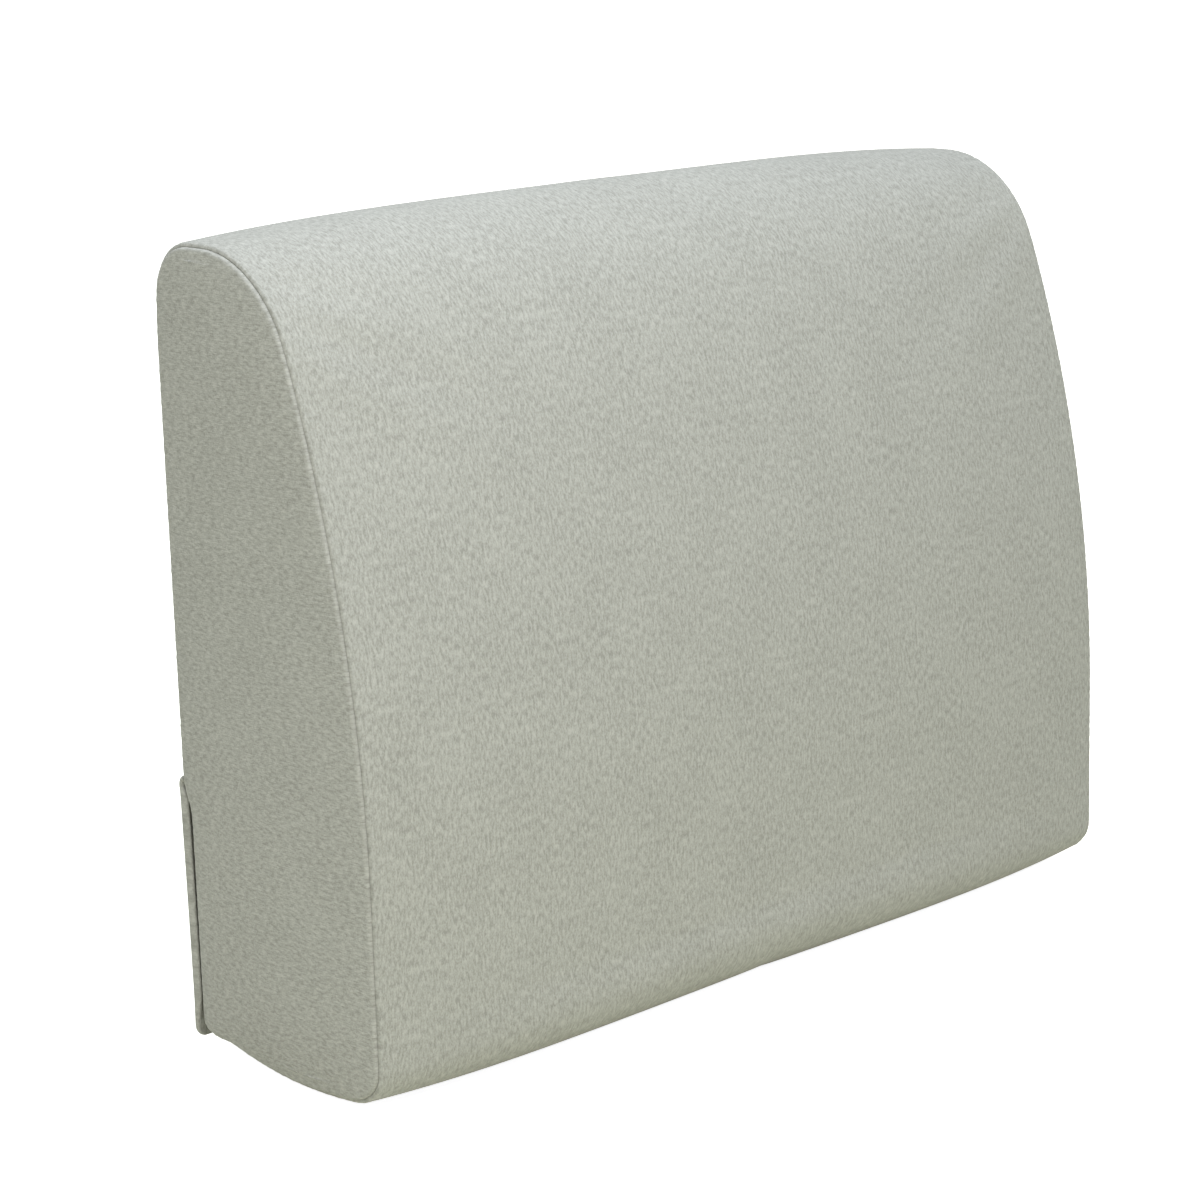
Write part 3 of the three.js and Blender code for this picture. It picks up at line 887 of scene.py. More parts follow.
# ======================================================================== materials
class Nodes:
    """A short way to add and join the nodes of a tree."""

    def __init__(self, tree):
        self.tree = tree
        tree.nodes.clear()

    def add(self, kind, inputs=None, **settings):
        node = self.tree.nodes.new("ShaderNode" + kind)
        for key, value in settings.items():
            setattr(node, key, value)
        for key, value in (inputs or {}).items():
            self.put(node.inputs[key], value)
        return node

    def put(self, socket, value):
        if isinstance(value, bpy.types.NodeSocket):
            self.tree.links.new(value, socket)
        elif isinstance(value, bpy.types.Node):
            self.tree.links.new(value.outputs[0], socket)
        else:
            socket.default_value = value

    def math(self, operation, *values):
        node = self.add("Math", operation=operation)
        for socket, value in zip(node.inputs, values):
            self.put(socket, value)
        return node.outputs[0]

    def noise(self, vector, scales, detail=2.0, roughness=0.5):
        """Noise with a size of its own along each axis."""
        scaled = self.add("Mapping", {"Vector": vector, "Scale": scales})
        node = self.add(
            "TexNoise", {"Vector": scaled, "Scale": 1.0, "Detail": detail, "Roughness": roughness}
        )
        return node.outputs["Fac"]

    def mix(self, amount, a, b):
        node = self.add("Mix", data_type="RGBA")
        for name, value in (("Factor", amount), ("A", a), ("B", b)):
            kind = "VALUE" if name == "Factor" else "RGBA"
            socket = next(i for i in node.inputs if i.name == name and i.type == kind)
            self.put(socket, (*value, 1) if isinstance(value, (tuple, list)) else value)
        return next(o for o in node.outputs if o.type == "RGBA")


def group(name, inputs, outputs, build):
    """A shader node group, made once. inputs are (name, kind, default)."""
    if name in bpy.data.node_groups:
        return bpy.data.node_groups[name]
    tree = bpy.data.node_groups.new(name, "ShaderNodeTree")
    for label, kind, default in inputs:
        socket = tree.interface.new_socket(label, in_out="INPUT", socket_type="NodeSocket" + kind)
        if default is not None:
            socket.default_value = default
    for label, kind in outputs:
        tree.interface.new_socket(label, in_out="OUTPUT", socket_type="NodeSocket" + kind)
    nodes = Nodes(tree)
    start, end = tree.nodes.new("NodeGroupInput"), tree.nodes.new("NodeGroupOutput")
    build(nodes, start.outputs, end.inputs)
    return tree


def build_slub(nodes, given, out):
    """Slub cloth. Streaks are noise stretched along the yarns, at three sizes; ribs are the
    sine of the distance across; the colour goes from dark to light with the streaks."""
    at = given["Weave"]
    streak = nodes.noise(at, (700, 250, 1), 2, 0.55)
    heather = nodes.noise(at, (330, 170, 1), 2, 0.5)
    cloud = nodes.noise(at, (28, 20, 1), 2, 0.5)
    fuzz = nodes.noise(at, (1500, 900, 1), 1, 0.5)
    tone = nodes.math("MULTIPLY_ADD", streak, 2.2, -0.6)
    tone = nodes.math("MULTIPLY_ADD", nodes.math("SUBTRACT", heather, 0.5), 0.9, tone)
    tone = nodes.math("MULTIPLY_ADD", nodes.math("SUBTRACT", fuzz, 0.5), 1.2, tone)
    tone = nodes.math("MULTIPLY_ADD", nodes.math("SUBTRACT", cloud, 0.5), 0.3, tone)
    tone.node.use_clamp = True
    nodes.put(out["Color"], nodes.mix(tone, given["Dark"], given["Light"]))
    across = nodes.add("SeparateXYZ", {"Vector": at}).outputs["X"]
    wander = nodes.math("MULTIPLY", nodes.noise(at, (120, 60, 1), 1), 9.0)
    rib = nodes.math("SINE", nodes.math("MULTIPLY_ADD", across, 2 * math.pi / (1.2 * MM), wander))
    height = nodes.math("MULTIPLY_ADD", rib, 0.12, nodes.math("MULTIPLY", streak, 1.0))
    height = nodes.math("MULTIPLY_ADD", fuzz, 0.45, height)
    nodes.put(out["Height"], height)


def slub_group():
    return group(
        "Slub weave",
        [
            ("Weave", "Vector", None),
            ("Light", "Color", (0.6, 0.6, 0.6, 1)),
            ("Dark", "Color", (0.3, 0.3, 0.3, 1)),
        ],
        [("Color", "Color"), ("Height", "Float")],
        build_slub,
    )


def new_material(name):
    made = bpy.data.materials.new(name)
    made.use_nodes = True
    return made, Nodes(made.node_tree)


def principled(
    nodes, colour, height=None, bump=0.3, depth=0.2 * MM, roughness=0.9, glow=None, **fixed
):
    """The shader itself: a Principled BSDF with a bump, and plain values on its own sockets."""
    inputs = {"Base Color": colour, "Roughness": roughness}
    if height is not None:
        inputs["Normal"] = nodes.add(
            "Bump", {"Height": height, "Strength": bump, "Distance": depth}
        )
    if glow is not None:
        inputs["Emission Color"] = glow
    shader = nodes.add("BsdfPrincipled", inputs)
    for name, value in fixed.items():
        shader.inputs[name.replace("_", " ")].default_value = value
    output = nodes.tree.nodes.new("ShaderNodeOutputMaterial")
    nodes.tree.links.new(shader.outputs[0], output.inputs[0])


def cover_cloth(nodes, look):
    weave = nodes.add("UVMap", uv_map="weave")
    slub = nodes.add(
        "Group",
        {},
        node_tree=slub_group(),
    )
    nodes.put(slub.inputs["Weave"], weave)
    slub.inputs["Light"].default_value = (*look.cloth_light, 1)
    slub.inputs["Dark"].default_value = (*look.cloth_dark, 1)
    principled(
        nodes, slub.outputs["Color"], slub.outputs["Height"], 0.55, 0.25 * MM, 0.92,
        Sheen_Weight=0.16, Sheen_Roughness=0.45, Specular_IOR_Level=0.15,
    )


def object_noise(nodes, size, detail=2.0):
    at = nodes.add("TexCoord").outputs["Object"]
    return nodes.noise(at, (1 / size,) * 3, detail)


def foam(nodes, tint):
    """Cut foam: open cells, each a small pit, with painted shade that darkens the colour towards
    the bottom of each pit.
    """
    at = nodes.add("TexCoord").outputs["Object"]
    pit_depth_and_shade = nodes.add("TexVoronoi", {"Vector": at, "Scale": 900.0}).outputs["Distance"]
    # Painted shade: the colour falls to 0.8 of the tint at the bottom of each pit, following the
    # same Voronoi distance that the bump sinks by.
    shade = nodes.mix(pit_depth_and_shade, tuple(0.8 * k for k in tint), tint)
    principled(nodes, shade, pit_depth_and_shade, 0.5, 0.4 * MM, 1.0)


def thread_like(nodes, tint, size=0.5 * MM, roughness=0.8):
    grain = object_noise(nodes, size)
    shade = nodes.mix(grain, tuple(0.72 * k for k in tint), tuple(min(1, 1.12 * k) for k in tint))
    principled(nodes, shade, grain, 0.3, 0.1 * MM, roughness, Sheen_Weight=0.15)


def metal(nodes):
    """Plated metal with a faint brushed wear in its roughness."""
    grain = object_noise(nodes, 0.6 * MM, 4)
    rough = nodes.add("MapRange", {"Value": grain, "To Min": 0.22, "To Max": 0.42})
    principled(nodes, (0.62, 0.61, 0.6, 1), grain, 0.05, 0.05 * MM, rough.outputs[0], Metallic=1.0)


FINISHES = {}


def material(name):
    """A material by the name of its finish, made once. The CAD's own plain materials have
    these names already, so what is made here is kept apart from them."""
    if name in FINISHES:
        return FINISHES[name]
    look = bpy.context.scene.cushion_colours
    made, nodes = new_material(f"{name}_finish")
    FINISHES[name] = made
    {
        "cover_cloth": lambda: cover_cloth(nodes, look),
        "thread": lambda: thread_like(nodes, tuple(look.thread)),
        "firm_foam": lambda: foam(nodes, tuple(look.firm_foam)),
        "soft_foam": lambda: foam(nodes, tuple(look.soft_foam)),
        "fibre": lambda: thread_like(nodes, tuple(look.fibre), 1.5 * MM, 1.0),
        "zip_tape": lambda: thread_like(nodes, tuple(look.tape), 0.5 * MM, 0.9),
        "zip_coil": lambda: thread_like(nodes, tuple(look.nylon), 2 * MM, 0.4),
        "zip_metal": lambda: metal(nodes),
        "hook_and_loop": lambda: thread_like(nodes, tuple(look.nylon), 0.6 * MM, 0.9),
        "label_satin": lambda: thread_like(nodes, tuple(look.satin), 0.3 * MM, 0.5),
    }[name]()
    return made


# ======================================================================== flap and trimmings
FLAP_LOW, FLAP_HIGH = (np.array(corner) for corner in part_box("closure_flap"))
FLAP_AXIS = np.array(next(j for j in frame["joints"] if j["name"] == "flap_lift")["pos_m"])
FLAP_HALF_CAD = FLAP_HIGH[1] - FLAP_AXIS[1]
FLAP_LEAN = (FLAP_AXIS[1] - FLAP_LOW[1] - FLAP_HALF_CAD) / (
    FLAP_AXIS[2] - FLAP_LOW[2] - FLAP_HALF_CAD
)
PATCHES = ("left", "middle", "right")


def flap_line():
    """Middle of the flap in (y, z): out of the seam in a quarter ellipse, then straight down
    with the lean."""
    a = np.linspace(0, math.pi / 2, 30)
    out, drop = 3.1 * MM, 4 * MM
    start = FLAP_AXIS[1] - out, FLAP_AXIS[2] - drop
    bend = np.stack([start[0] + out * np.sin(a), start[1] + (drop + 0.9 * MM) * np.cos(a)], 1)
    z = np.linspace(start[1], FLAP_LOW[2], 80)[1:]
    straight = np.stack([FLAP_AXIS[1] - (start[1] - z) * FLAP_LEAN, z], 1)
    return np.vstack([bend, straight])


def flap_surface(w, x, sizes):
    """Points and outward directions of the flap's middle at w along it and x across: the line
    above, standing off a little towards the free edge except where the patches hold it."""
    line_points = flap_line()
    step = np.linalg.norm(np.diff(line_points, axis=0), axis=1)
    along = np.concatenate([[0], np.cumsum(step)])
    yz = np.stack([np.interp(w, along, line_points[:, k]) for k in (0, 1)], -1)
    slope = unit(np.gradient(line_points, axis=0))
    t = unit(np.stack([np.interp(w, along, slope[:, k]) for k in (0, 1)], -1))
    normal = np.stack([np.zeros_like(w), -t[..., 1], t[..., 0]], -1)
    stands = 1 - sum(bell(x - patch_middle(p)[0], 45 * MM) for p in PATCHES)
    ripple = 1 + 0.35 * np.sin(x / (23 * MM))
    off = sizes.flare * stands * ripple * (w / along[-1]) ** 2
    points = np.stack([x, yz[..., 0], yz[..., 1]], -1)
    return points + normal * off[..., None], normal, along[-1]


def patch_middle(place):
    low, high = (np.array(k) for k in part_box(f"loop_patch_{place}"))
    return (low + high) / 2


def sew_flap(sizes):
    """The flap: two layers with a thicker turned hem and a stitched line round it."""
    reach = flap_surface(np.zeros(1), np.zeros(1), sizes)[2]
    half_x = FLAP_HIGH[0]
    u = graded(2 * half_x, 0.4 * MM, 10 * MM, 1.2) - half_x
    w = graded(reach, 0.4 * MM, 2.5 * MM, 1.2)
    w, u = np.meshgrid(w, u, indexing="ij")
    foot = reach - w
    off = np.maximum(sizes.corner - foot, 0)
    cut = sizes.corner - np.sqrt(np.maximum(sizes.corner**2 - off**2, 0))
    x = u * (1 - cut / half_x)
    side = half_x - np.abs(u)
    middle, normal, _ = flap_surface(w, x, sizes)
    edge = np.minimum(side, foot)
    hem = 1 - ease((edge - sizes.hem) / (1.2 * MM))
    groove = 0.45 * MM * bell(edge - hem_line(sizes), 0.7 * MM)
    depth = sizes.thickness + sizes.hem_extra * hem - groove
    fold = sizes.side_fold * (1 - ease((side - sizes.fold_width) / (0.8 * MM)))
    fold = fold * ease((foot - 5 * MM) / sizes.open_foot) * ease((w - 4 * MM) / (8 * MM))
    middle = middle - normal * (fold / 2)[..., None]
    r = sizes.thickness * 0.6
    depth = (depth + fold) * rounding(side, r) * rounding(foot, r) * rounding(w, r)
    points, faces = slab(middle, normal, depth)
    weave = np.tile(np.stack([x, w], -1).reshape(-1, 2), (2, 1))
    flap = add_piece(
        "closure_flap", points, faces, material("cover_cloth"), "cover_cloth", None, weave,
        ["closure_flap"],
    )
    blend_flap(flap)
    sew_hem(sizes, reach, half_x)


def hem_line(sizes):
    return sizes.hem - 1.8 * MM


def blend_flap(piece):
    """Bakes the piece's place into its points."""
    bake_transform(piece)


def sew_hem(sizes, reach, half_x):
    """Stitches down both sides and along the foot, on both faces of the flap."""
    inner = hem_line(sizes)
    w = np.concatenate([np.linspace(4 * MM, reach - inner, 60), np.full(120, reach - inner)])
    x = np.concatenate([np.full(60, inner - half_x), np.linspace(inner - half_x, 0, 120)])
    w, x = np.concatenate([w, w[::-1]]), np.concatenate([x, -x[::-1]])
    middle, normal, _ = flap_surface(w, x, sizes)
    rows = []
    for face in (1, -1):
        skin = (sizes.thickness + sizes.hem_extra) / 2 - 0.2 * MM
        rows.append(stitch_row(middle + normal * face * skin, normal * face))
    piece = add_piece("flap_stitching", *joined(rows), material("thread"), "cover_cloth", None)
    blend_flap(piece)
    return piece


def patch_pad(place, kind, centre, normal, up, body):
    """A hook or loop patch: a flat pad with a bare border, stitches round it, and its pile."""
    low, high = (np.array(k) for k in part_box(f"{kind}_patch_{place}"))
    half_x, reach = (high[0] - low[0]) / 2, 20 * MM
    u, w, side, end = strip_pad(half_x, reach, 1.5 * MM, 1.5 * MM)
    border = ease((np.minimum(side, end) - 2.2 * MM) / (0.6 * MM))
    depth = (0.7 + 0.5 * border) * MM * rounding(side, 0.4 * MM) * rounding(end, 0.4 * MM)
    middle = centre + u[..., None] * [1, 0, 0] + (w - reach / 2)[..., None] * up
    out = np.broadcast_to(normal, middle.shape)
    points, faces = slab(middle, out, depth)
    name = f"{kind}_patch_{place}"
    add_piece(
        name, points, faces, material("hook_and_loop"), "hook_and_loop", body, replaces=[name]
    )
    pile(name, kind, centre + normal * 0.55 * MM, normal, up, half_x, reach, body)
    inner = 1.3 * MM
    corner_x, corner_w = half_x - inner, reach / 2 - inner
    corners = np.array([[-1, -1], [1, -1], [1, 1], [-1, 1], [-1, -1]]) * [corner_x, corner_w]
    t = np.linspace(0, 4, 161)
    box = np.stack([np.interp(t, range(5), corners[:, k]) for k in (0, 1)], 1)
    path = centre + box[:, :1] * [1, 0, 0] + box[:, 1:] * up + normal * 0.42 * MM
    row = stitch_row(path, np.broadcast_to(normal, path.shape))
    add_piece(f"{name}_stitching", *row, material("thread"), "hook_and_loop", body)


def pile(name, kind, centre, normal, up, half_x, reach, body):
    """Rows of small hooks, or a crowd of small loops turned all ways, on a patch."""
    chance = np.random.default_rng(len(name))
    step = 1.5 * MM if kind == "hook" else 1.35 * MM
    x = np.arange(-half_x + 3 * MM, half_x - 3 * MM, step)
    w = np.arange(-reach / 2 + 3 * MM, reach / 2 - 3 * MM, step)
    x, w = (k.ravel() for k in np.meshgrid(x, w))
    turn = np.full(x.shape, math.pi / 2)
    if kind == "loop":
        x = x + chance.uniform(-0.5, 0.5, x.shape) * MM
        w = w + chance.uniform(-0.5, 0.5, x.shape) * MM
        turn = chance.uniform(0, 2 * math.pi, x.shape)
    across = np.array([1.0, 0, 0])
    origins = centre + x[:, None] * across + w[:, None] * up
    one = np.cos(turn)[:, None] * across + np.sin(turn)[:, None] * up
    frames = np.stack([one, np.cross(normal, one), np.broadcast_to(normal, one.shape)], 1)
    reach_round = 0.8 if kind == "hook" else 1.0
    a = np.linspace(0, reach_round * math.pi, 7)
    path = np.stack([-0.38 * np.cos(a), 0 * a, 0.5 * np.sin(a) - 0.05], 1) * MM
    first = np.stack([-np.cos(a), 0 * a, np.sin(a)], 1)
    second = np.broadcast_to([0.0, 1.0, 0.0], path.shape)
    small = tube_along(path, first, second, 0.11 * MM, 4)
    points, faces = many(*small, origins, frames)
    kind_name = f"{name}_{'hooks' if kind == 'hook' else 'loops'}"
    add_piece(kind_name, points, faces, material("hook_and_loop"), "hook_and_loop", body)


def sew_patches():
    """Three loop patches on the lower back and three hook patches inside the flap."""
    sizes = bpy.context.scene.cushion_flap
    up, out = np.array([0, 0, 1.0]), np.array([0, 1.0, 0])
    tilt = unit(np.array([0, FLAP_LEAN, 1.0]))
    inwards = unit(np.array([0, -1.0, FLAP_LEAN]))
    for place in PATCHES:
        middle = patch_middle(place)
        loop = np.array([middle[0], LOWER_BACK + 0.35 * MM, middle[2]])
        patch_pad(place, "loop", loop, out, up, "cushion")
        y = FLAP_AXIS[1] - (FLAP_AXIS[2] - middle[2]) * FLAP_LEAN
        hook = np.array([middle[0], y, middle[2]]) + inwards * (sizes.thickness / 2 + 0.3 * MM)
        patch_pad(place, "hook", hook, inwards, tilt, "flap")


def sew_label():
    """A blank satin label, sewn on at its top edge and curling a little at its foot."""
    low, high = (np.array(k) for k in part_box("care_label"))
    half_x, reach = (high[0] - low[0]) / 2, high[2] - low[2]
    u, w, side, end = strip_pad(half_x, reach, 0.6 * MM, 2 * MM, 0.25 * MM)
    depth = 0.5 * MM * rounding(side, 0.25 * MM) * rounding(end, 0.25 * MM)
    curl = 1.3 * MM * ease((w / reach - 0.35) / 0.65) ** 2 + 0.25 * MM
    curl = curl + 0.25 * MM * np.sin(u / (6 * MM)) * (w / reach)
    x = (low[0] + high[0]) / 2 + u
    middle = np.stack([x, LOWER_BACK + curl, high[2] - w], -1)
    out = np.broadcast_to([0.0, 1.0, 0.0], middle.shape)
    points, faces = slab(middle, out, depth)
    label = add_piece(
        "care_label", points, faces, material("label_satin"), "label_satin",
        replaces=["care_label"],
    )
    across = np.linspace(low[0] + 1.5 * MM, high[0] - 1.5 * MM, 30)
    top = np.full_like(across, high[2] - 2.5 * MM)
    path = np.stack([across, np.full_like(across, LOWER_BACK + 0.5 * MM), top], 1)
    row = stitch_row(path, np.broadcast_to([0.0, 1.0, 0.0], path.shape))
    stitches = add_piece("care_label_stitching", *row, material("thread"), "label_satin")


# ======================================================================== zip
def coil_row(name, side, shift):
    """One side of the chain: wire wound along X in a flat ellipse whose near edge reaches
    past the middle of the chain, half a pitch from the other side's."""
    sizes = bpy.context.scene.cushion_zip
    low, high = (np.array(k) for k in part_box(name))
    turns = (high[0] - low[0]) / sizes.pitch - 1
    a = np.linspace(0, 2 * math.pi * turns, int(turns * 8))
    middle = (low + high) / 2
    tall = (high[1] - low[1]) / 2 - sizes.wire
    wide = (high[2] - low[2]) / 2
    z = middle[2] - side * 0.12 * MM + side * wide * np.cos(a)
    x = low[0] + (a / (2 * math.pi) + 0.25 + shift) * sizes.pitch
    path = np.stack([x, middle[1] + tall * np.sin(a), z], 1)
    first = np.stack([0 * a, np.sin(a), side * np.cos(a)], 1)
    second = np.broadcast_to([1.0, 0.0, 0.0], path.shape)
    points, faces = tube_along(path, first, second, sizes.wire, 5)
    faces = closed_out(points, faces)
    add_piece(name, points, faces, material("zip_coil"), "zip_coil", replaces=[name])


def slider_body():
    """The slider: a channel carried along X, a little narrower at its tail, and an arch."""
    low, high = (np.array(k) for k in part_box("zip_slider"))
    coil_low, coil_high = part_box("zip_coil_lower")[0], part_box("zip_coil_upper")[1]
    wall = 1 * MM
    clear = 0.3 * MM
    middle = (coil_low.z + coil_high.z) / 2
    inside = (coil_high.z - coil_low.z) / 2 + clear
    plate = coil_high.y + clear + wall
    foot = low[1]
    x = np.linspace(low[0], high[0], 9)
    outer = inside + wall * np.interp(x, [low[0], high[0]], [0.55, 1.0])
    outer[[0, -1]] -= 0.35 * MM
    tops = np.full(len(x), plate)
    tops[[0, -1]] -= 0.3 * MM
    ones = np.ones(len(x))
    corners = [
        (foot * ones, -outer), (tops - 0.4 * MM, -outer), (tops, -outer + 0.5 * MM),
        (tops, outer - 0.5 * MM), (tops - 0.4 * MM, outer), (foot * ones, outer),
        (foot * ones, inside * ones), ((plate - wall) * ones, inside * ones),
        ((plate - wall) * ones, -inside * ones), (foot * ones, -inside * ones),
    ]
    ring = np.stack([np.stack([x, y, middle + z], 1) for y, z in corners], 1)
    index = numbered(len(x), len(corners) + 1)
    ring = np.concatenate([ring, ring[:, :1]], 1)
    index[:, -1] = index[:, 0]
    faces = [quads(index)]
    for k, row in enumerate(index[[0, -1]]):
        cap = np.array([[row[9], row[0], row[1], row[8]], [row[8], row[1], row[2], row[2]],
                        [row[8], row[2], row[3], row[7]], [row[7], row[3], row[4], row[4]],
                        [row[7], row[4], row[5], row[6]]])
        faces.append(cap[:, :: 1 if k == 0 else -1])
    points, faces = ring.reshape(-1, 3), np.concatenate(faces)
    faces = closed_out(points, faces)
    centre = (low[0] + high[0]) / 2
    reach, crown = 2.7 * MM, high[1] - 0.45 * MM
    a = np.linspace(0, math.pi, 15)
    arch = np.stack([centre - reach * np.sign(np.cos(a)) * np.abs(np.cos(a)) ** 0.5,
                     plate - 0.5 * MM + (crown - plate + 0.5 * MM) * np.sin(a) ** 0.5,
                     np.full_like(a, middle)], 1)
    slope = unit(np.gradient(arch, axis=0))
    across = np.broadcast_to([0.0, 0.0, 1.0], arch.shape)
    bow = tube_along(arch, across, np.cross(across, slope), 0.62 * MM, 8, 0.66)
    bow = bow[0], closed_out(*bow)
    add_piece("zip_slider", *joined([(points, faces), bow]), material("zip_metal"), "zip_metal",
              "slider", replaces=["zip_slider"])


def superellipse(a, half_a, half_b, power):
    """Rounded rectangle: cosine and sine with their sizes raised to 2 / power."""
    cos, sin = np.cos(a), np.sin(a)
    one = np.sign(cos) * np.abs(cos) ** (2 / power) * half_a
    return one, np.sign(sin) * np.abs(sin) ** (2 / power) * half_b


def pull_tab():
    """The tab: a plate ruled between the outline of its eye and its own outline, with a bead
    round its edge and four ridges to grip."""
    low, high = (np.array(k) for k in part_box("zip_pull_tab"))
    joint = next(j for j in frame["joints"] if j["name"] == "zip_pull_turn")
    axis = np.array(joint["pos_m"])
    a = np.linspace(0, 2 * math.pi, 97)[:-1]
    eye = superellipse(a, 1.75 * MM, 1.4 * MM, 4)
    rim = superellipse(a, (high[0] - low[0]) / 2, (high[2] - low[2]) / 2, 3.4)
    r = graded(1.0, 0.03, 0.12, 1.3)[None, :, None]
    eye = np.stack([axis[0] - 2.25 * MM + eye[0], eye[1]], 1)[:, None]
    rim = np.stack([(high[0] + low[0]) / 2 + rim[0], rim[1]], 1)[:, None]
    flat = eye * (1 - r) + rim * r
    middle = np.stack([flat[..., 0], np.full(flat.shape[:2], axis[1]), axis[2] + flat[..., 1]], -1)
    to_rim = np.linalg.norm(flat - rim, axis=-1)
    to_eye = np.linalg.norm(flat - eye, axis=-1)
    ridges = 0.5 + 0.5 * np.cos((flat[..., 0] - low[0] - 3 * MM) * 2 * math.pi / (1.6 * MM))
    from_eye = low[0] + 9 * MM - flat[..., 0]
    grip = ease(from_eye / (1 * MM)) * ease((to_rim - 0.9 * MM) / (0.4 * MM))
    depth = 0.66 + 0.34 * bell(to_rim - 0.45 * MM, 0.45 * MM) + 0.3 * ridges * grip
    depth = depth * MM * rounding(to_rim, 0.3 * MM) * rounding(to_eye, 0.3 * MM)
    points, faces = slab(middle, np.broadcast_to([0.0, 1.0, 0.0], middle.shape), depth, True)
    add_piece("zip_pull_tab", points, faces, material("zip_metal"), "zip_metal", "pull",
              replaces=["zip_pull_tab"])


def woven_tape(name):
    """A zip's woven tape, sewn to a panel: a thin strip with ribs along it. Its thickness is
    rounded off at the rim and rises and falls as a cosine of the distance across."""
    low, high = (np.array(corner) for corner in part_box(name))
    half_x, reach = (high[0] - low[0]) / 2, high[2] - low[2]
    ribs = max(round(reach / bpy.context.scene.cushion_zip.tape_rib), 1)
    u = graded(2 * half_x, 0.15 * MM, 8 * MM) - half_x
    w = np.linspace(0, reach, 6 * ribs + 1)
    w, u = np.meshgrid(w, u, indexing="ij")
    edge = rounding(half_x - np.abs(u), 0.3 * MM) * rounding(np.minimum(w, reach - w), 0.3 * MM)
    depth = (high[1] - low[1]) * edge * (0.86 - 0.14 * np.cos(2 * np.pi * ribs * w / reach))
    x, y = (low[0] + high[0]) / 2 + u, np.full_like(u, (low[1] + high[1]) / 2)
    middle = np.stack([x, y, high[2] - w], -1)
    points, faces = slab(middle, np.broadcast_to([0.0, 1.0, 0.0], middle.shape), depth)
    tape = add_piece(name, points, faces, material("zip_tape"), "zip_tape", replaces=[name])


def sew_zip():
    """Coils, stops, slider and tab, the two tapes, and a stitched line either side."""
    coil_row("zip_coil_upper", 1, 0.0)
    coil_row("zip_coil_lower", -1, 0.5)
    for end in ("left", "right"):
        name = f"zip_stop_{end}"
        low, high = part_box(name)
        block = rounded_block(low, high, 0.45 * MM)
        add_piece(name, *block, material("zip_metal"), "zip_metal", replaces=[name])
    slider_body()
    pull_tab()
    for row, panel in (("upper", "zip_band_panel"), ("lower", "lower_back_panel")):
        woven_tape(f"zip_tape_{row}")
    rows = []
    x = np.linspace(-HALF + 8 * MM, HALF - 8 * MM, 200)
    for z in (WINDOW_TOP + 2.4 * MM, WINDOW_FOOT - 2.4 * MM):
        path = np.stack([x, np.full_like(x, LOWER_BACK - 0.25 * MM), np.full_like(x, z)], 1)
        rows.append(stitch_row(path, np.broadcast_to([0.0, 1.0, 0.0], path.shape)))
    add_piece("zip_stitching", *joined(rows), material("thread"), "cover_cloth")


def wadding_wrap():
    """Fibre under the cover, from the flap seam over the top and round to the heel."""
    c, f = bpy.context.scene.cushion_cover, form()
    o = f.outline
    s = np.linspace(o.up_back(FLAP_SEAM + 2 * MM), o.total - 10 * MM, 170)
    x = np.linspace(8 * MM - f.half, f.half - 8 * MM, 60)
    s, x = np.meshgrid(s, x, indexing="ij")
    points = f.tube(s, x, np.full(s.shape, -c.cloth - 0.8 * MM)).reshape(-1, 3)
    faces = facing_out(points, quads(numbered(*s.shape)), np.array([0, 0, TOP / 2]))
    name = "fibre_wadding_wrap"
    piece = add_piece(name, points, faces, material("fibre"), "fibre", replaces=[name])
    thicken(piece, 6 * MM)


def wadding_end(side, name):
    """Fibre pad under a side panel."""
    c, f = bpy.context.scene.cushion_cover, form()
    v = np.linspace(0.03, 0.97, 90)
    share = np.linspace(f.STRIP_SHARE, 1 - f.STRIP_SHARE, 24)
    v, share = np.meshgrid(v, share, indexing="ij")
    points = f.end(v, share, side, depth=c.cloth + 0.8 * MM).reshape(-1, 3)
    faces = facing_side(points, quads(numbered(*v.shape)), side)
    piece = add_piece(name, points, faces, material("fibre"), "fibre", replaces=[name])
    thicken(piece, 5 * MM)


# ======================================================================== operators
class CUSHION_OT_filling(bpy.types.Operator):
    """Finishes the foam of the filling"""

    bl_idname = "cushion.filling"
    bl_label = "Filling"

    def execute(self, context):
        for node, name in (("support_foam_core", "firm_foam"), ("comfort_foam_layer", "soft_foam")):
            coat(node, name)
        wadding_wrap()
        wadding_end(-1, "left_end_wadding")
        wadding_end(1, "right_end_wadding")
        return {"FINISHED"}


def coat(node, name):
    """Gives a CAD node a finish."""
    piece = frame["nodes"][node]
    piece.data.materials.clear()
    piece.data.materials.append(material(name))
    return piece


class CUSHION_OT_cover(bpy.types.Operator):
    """Sews the panels of the cover over the stuffed form"""

    bl_idname = "cushion.cover"
    bl_label = "Cover"

    def execute(self, context):
        f = form()
        o = f.outline
        heel, foot, top = (o.up_back(z) for z in (HEEL_SEAM + 12 * MM, WINDOW_FOOT, WINDOW_TOP))
        flap, roll = o.up_back(FLAP_SEAM), o.up_back(ROLL_SEAM)
        panels = (
            ("front_wrap_panel", roll, o.total + heel, "seam", "seam", 11),
            ("upper_back_panel", flap, roll, "seam", "seam", 21, 2 * MM),
            ("zip_band_panel", top, flap, "fold", "seam", 31),
            ("lower_back_panel", heel, foot, "seam", "fold", 41),
        )
        for panel in panels:
            tube_panel(*panel)
        for side, name in ((-1, "left_side_panel"), (1, "right_side_panel")):
            side_panel(side, name)
        return {"FINISHED"}


class CUSHION_OT_zip(bpy.types.Operator):
    """Makes the zip's tapes, coils, stops, slider and tab"""

    bl_idname = "cushion.zip"
    bl_label = "Zip"

    def execute(self, context):
        sew_zip()
        return {"FINISHED"}


